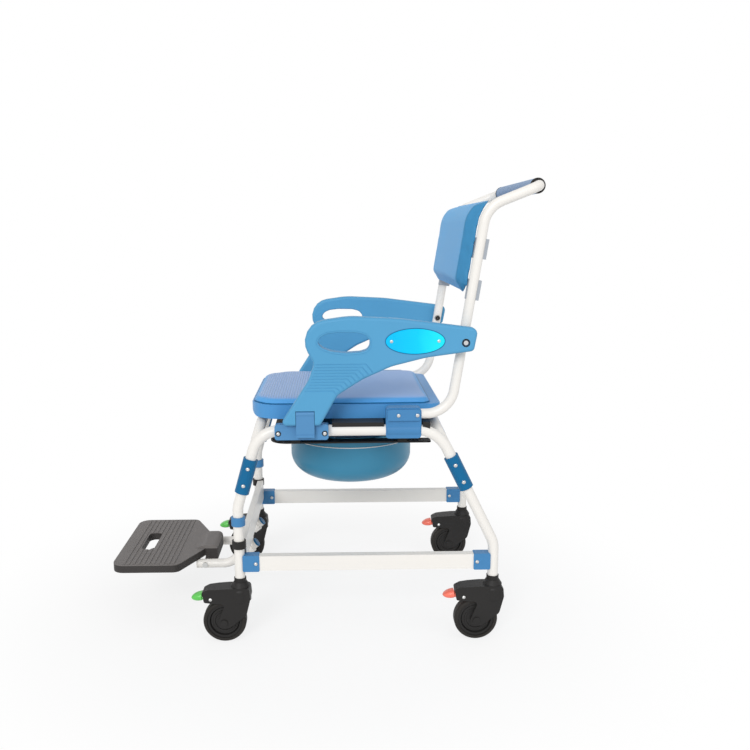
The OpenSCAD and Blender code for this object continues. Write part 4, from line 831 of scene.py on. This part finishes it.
# Fasteners: button heads with a hex socket, with a dark washer on the armrest bases
boltLook = {
    "round": 24, "headShare": 0.76, "socket": 0.42, "deep": 0.55,
    "dome": [(1.0, 0.0), (1.0, 0.25), (0.93, 0.55), (0.80, 0.80), (0.64, 0.96), (0.52, 1.0)],
    "axisWithin": 0.001, "shankShare": 0.98, "shankShort": 0.001, "endWithin": 0.005, "headFrom": 1.4,
    "rimFrom": 0.98, "washerInner": 0.9, "washerOver": 0.0017, "washerThick": 0.0009, "washerLow": 0.49,
    "washerHigh": 0.52,
}


def islands(node):  # points of each separate solid of a node
    made = bmesh.new()
    made.from_mesh(nodes[node].data)
    bmesh.ops.remove_doubles(made, verts=made.verts, dist=weldWithin)
    found, seen = [], set()
    for first in made.verts:
        if first in seen:
            continue
        group, queue = [], [first]
        seen.add(first)
        while queue:
            v = queue.pop()
            group.append(v.co.copy())
            for edge in v.link_edges:
                other = edge.other_vert(v)
                if other not in seen:
                    seen.add(other)
                    queue.append(other)
        found.append(group)
    made.free()
    return found


def circleOf(place, out, r, x, count, flats=0):  # ring about X, round or with flat sides
    ring = []
    for k in range(count):
        a = math.tau * k / count
        reach = r
        if flats:
            part = math.tau / flats
            reach = r * math.cos(part / 2) / math.cos((a % part) - part / 2)
        ring.append(place + Vector((out * x, reach * math.cos(a), reach * math.sin(a))))
    return ring


def buttonHead(place, out, r, high, look):  # rings of a domed head from its seat outwards
    n, socket = look["round"], r * look["socket"]
    rings = [circleOf(place, out, r * f, high * x, n) for f, x in look["dome"]]
    rings.append(circleOf(place, out, socket, high, n, 6))
    rings.append(circleOf(place, out, socket, high * (1 - look["deep"]), n, 6))
    return rings


def washer(place, out, head, look):
    inner, outer, thick = head * look["washerInner"], head + look["washerOver"], look["washerThick"]
    profile = [(inner, 0.0), (outer, 0.0), (outer, thick * 0.6), (outer - thick * 0.4, thick), (inner, thick)]
    return [circleOf(place, out, r, x, look["round"]) for r, x in profile]


def frameBolts(look):
    verts, faces, washVerts, washFaces = [], [], [], []
    for group in islands("frame_bolts"):
        x0, x1 = min(v.x for v in group), max(v.x for v in group)
        y = (min(v.y for v in group) + max(v.y for v in group)) / 2
        z = (min(v.z for v in group) + max(v.z for v in group)) / 2
        far = [math.hypot(v.y - y, v.z - z) for v in group]
        shank = min(f for f in far if f > look["axisWithin"])
        ends = (x0 + look["shankShort"], x1 - look["shankShort"])
        addRings(verts, faces, [circleOf(Vector((x, y, z)), 1, shank * look["shankShare"], 0, look["round"])
                                for x in ends])
        for end, out in ((x0, -1), (x1, 1)):
            close = [(abs(v.x - end), f) for v, f in zip(group, far) if abs(v.x - end) < look["endWithin"]]
            head = max(f for d, f in close)
            if head < shank * look["headFrom"]:
                continue
            high = max(d for d, f in close if f > head * look["rimFrom"])
            seat = Vector((end - out * high, y, z))
            head *= look["headShare"]
            addRings(verts, faces, buttonHead(seat, out, head, high, look))
            if look["washerLow"] < z < look["washerHigh"]:
                addRings(washVerts, washFaces, washer(seat, out, head, look))
    bolts = softShade(newPiece("button_bolts", verts, faces, "steel"))
    washers = softShade(newPiece("bolt_washers", washVerts, washFaces, "black"))
    dress(bolts, "frame", "steel", "frame_bolts")
    dress(washers, "frame", "black_plastic")
    return len(faces)


print("bolt faces:", frameBolts(boltLook))

# Two screws in the holes of each oval plate
screwLook = {**boltLook, "head": 0.0036, "high": 0.0016, "apart": 0.4}


def plateScrews(side, sign, look):
    low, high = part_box("armrest_plate_" + side)
    middle, long = (low + high) / 2, high.y - low.y
    verts, faces = [], []
    for end in (-1, 1):
        seat = Vector((high.x if sign > 0 else low.x, middle.y + end * look["apart"] * long, middle.z))
        addRings(verts, faces, buttonHead(seat, sign, look["head"], look["high"], look))
    screws = softShade(newPiece("plate_screws_" + side, verts, faces, "steel"))
    dress(screws, "armrest_" + side, "steel")


for side, sign in sides.items():
    plateScrews(side, sign, screwLook)
print("plate screws in")

# Camera at the photograph's viewing angle
cameraLook = {"place": (2.0329, 0.0512, 0.936), "pitch": 0.20215, "yaw": -0.00158, "roll": -0.00983,
              "lens": 39.8, "sensor": 36.0, "shiftX": 0.0467, "shiftY": 0.0333, "far": 50.0}


def addCamera(look):
    data = bpy.data.cameras.new("camera")
    data.lens = look["lens"]
    data.sensor_width = look["sensor"]
    data.shift_x = look["shiftX"]
    data.shift_y = look["shiftY"]
    data.clip_end = look["far"]
    eye = bpy.data.objects.new("camera", data)
    bpy.context.scene.collection.objects.link(eye)
    p, y, roll = look["pitch"], look["yaw"], look["roll"]
    ahead = Vector((-math.cos(p) * math.cos(y), -math.cos(p) * math.sin(y), -math.sin(p)))
    right = ahead.cross(Vector((0, 0, 1))).normalized()
    up = right.cross(ahead)
    rolledRight = math.cos(roll) * right + math.sin(roll) * up
    rolledUp = math.cos(roll) * up - math.sin(roll) * right
    eye.matrix_world = Matrix((rolledRight, rolledUp, -ahead)).transposed().to_4x4()
    eye.location = look["place"]
    bpy.context.scene.camera = eye


# Studio: pale floor that fades to white, a soft key from the near side and a fill
floorLook = {"half": 12.0, "colour": (0.93, 0.93, 0.93), "fadeFrom": 0.45, "fadeTo": 1.0, "glow": 0.78}
skyLook = {"light": 0.60}
keyLook = {"side": (1.0, -0.35, 0.55), "spread": 25.0, "strength": 1.55}
fillLook = {"place": (1.6, 1.4, 2.0), "aim": (0, 0.1, 0.5), "size": 1.8, "watts": 8.0}


def backdropRays(web):  # 1 for the rays that show the backdrop: straight, mirrored or through glass
    straight, mirrored, through = (web.node("ShaderNodeLightPath", out="Is " + kind + " Ray")
                                   for kind in ("Camera", "Glossy", "Transmission"))
    return straight.calc("MAXIMUM", mirrored).calc("MAXIMUM", through)


def addFloor(look):
    half = look["half"]
    mesh = bpy.data.meshes.new("floor")
    square = [(-half, -half, 0), (half, -half, 0), (half, half, 0), (-half, half, 0)]
    mesh.from_pydata(square, [], [(0, 1, 2, 3)])
    floor = bpy.data.objects.new("floor", mesh)
    bpy.context.scene.collection.objects.link(floor)
    paint = Paint("floor", Roughness=0.9, Specular_IOR_Level=0.0)
    paint.colour((*look["colour"], 1))
    away = paint.node("ShaderNodeVectorMath", {"operation": "LENGTH"}, {0: paint.where()}, "Value")
    fade = look["glow"] + away.between(look["fadeFrom"], look["fadeTo"]) * (1 - look["glow"])
    white = paint.node("ShaderNodeEmission", None, {"Color": (1, 1, 1, 1), "Strength": 1.0})
    lit = Wire(paint, paint.shader.outputs[0])
    mixed = paint.node("ShaderNodeMixShader", None, {0: fade * backdropRays(paint), 1: lit, 2: white})
    paint.put(paint.tree.nodes["Material Output"].inputs["Surface"], mixed)
    mesh.materials.append(paint.material)


def addSky(look):
    world = bpy.data.worlds.new("studio")
    bpy.context.scene.world = world
    world.use_nodes = True
    web = Web(world.node_tree)
    sky = web.tree.nodes["Background"]
    web.put(sky.inputs["Color"], (1, 1, 1, 1))
    web.put(sky.inputs["Strength"], look["light"] + backdropRays(web) * (1 - look["light"]))


def addSun(name, look):
    data = bpy.data.lights.new(name, "SUN")
    data.angle = math.radians(look["spread"])
    data.energy = look["strength"]
    sun = bpy.data.objects.new(name, data)
    bpy.context.scene.collection.objects.link(sun)
    sun.rotation_euler = Vector(look["side"]).to_track_quat("Z", "Y").to_euler()


def addLamp(name, look):
    data = bpy.data.lights.new(name, "AREA")
    data.size = look["size"]
    data.energy = look["watts"]
    lamp = bpy.data.objects.new(name, data)
    bpy.context.scene.collection.objects.link(lamp)
    lamp.location = look["place"]
    lamp.rotation_euler = (Vector(look["aim"]) - Vector(look["place"])).to_track_quat("-Z", "Y").to_euler()


addCamera(cameraLook)
addFloor(floorLook)
addSky(skyLook)
addSun("key", keyLook)
addLamp("fill", fillLook)
bpy.context.scene.view_settings.view_transform = "Standard"
print("camera, floor and lamps in place")
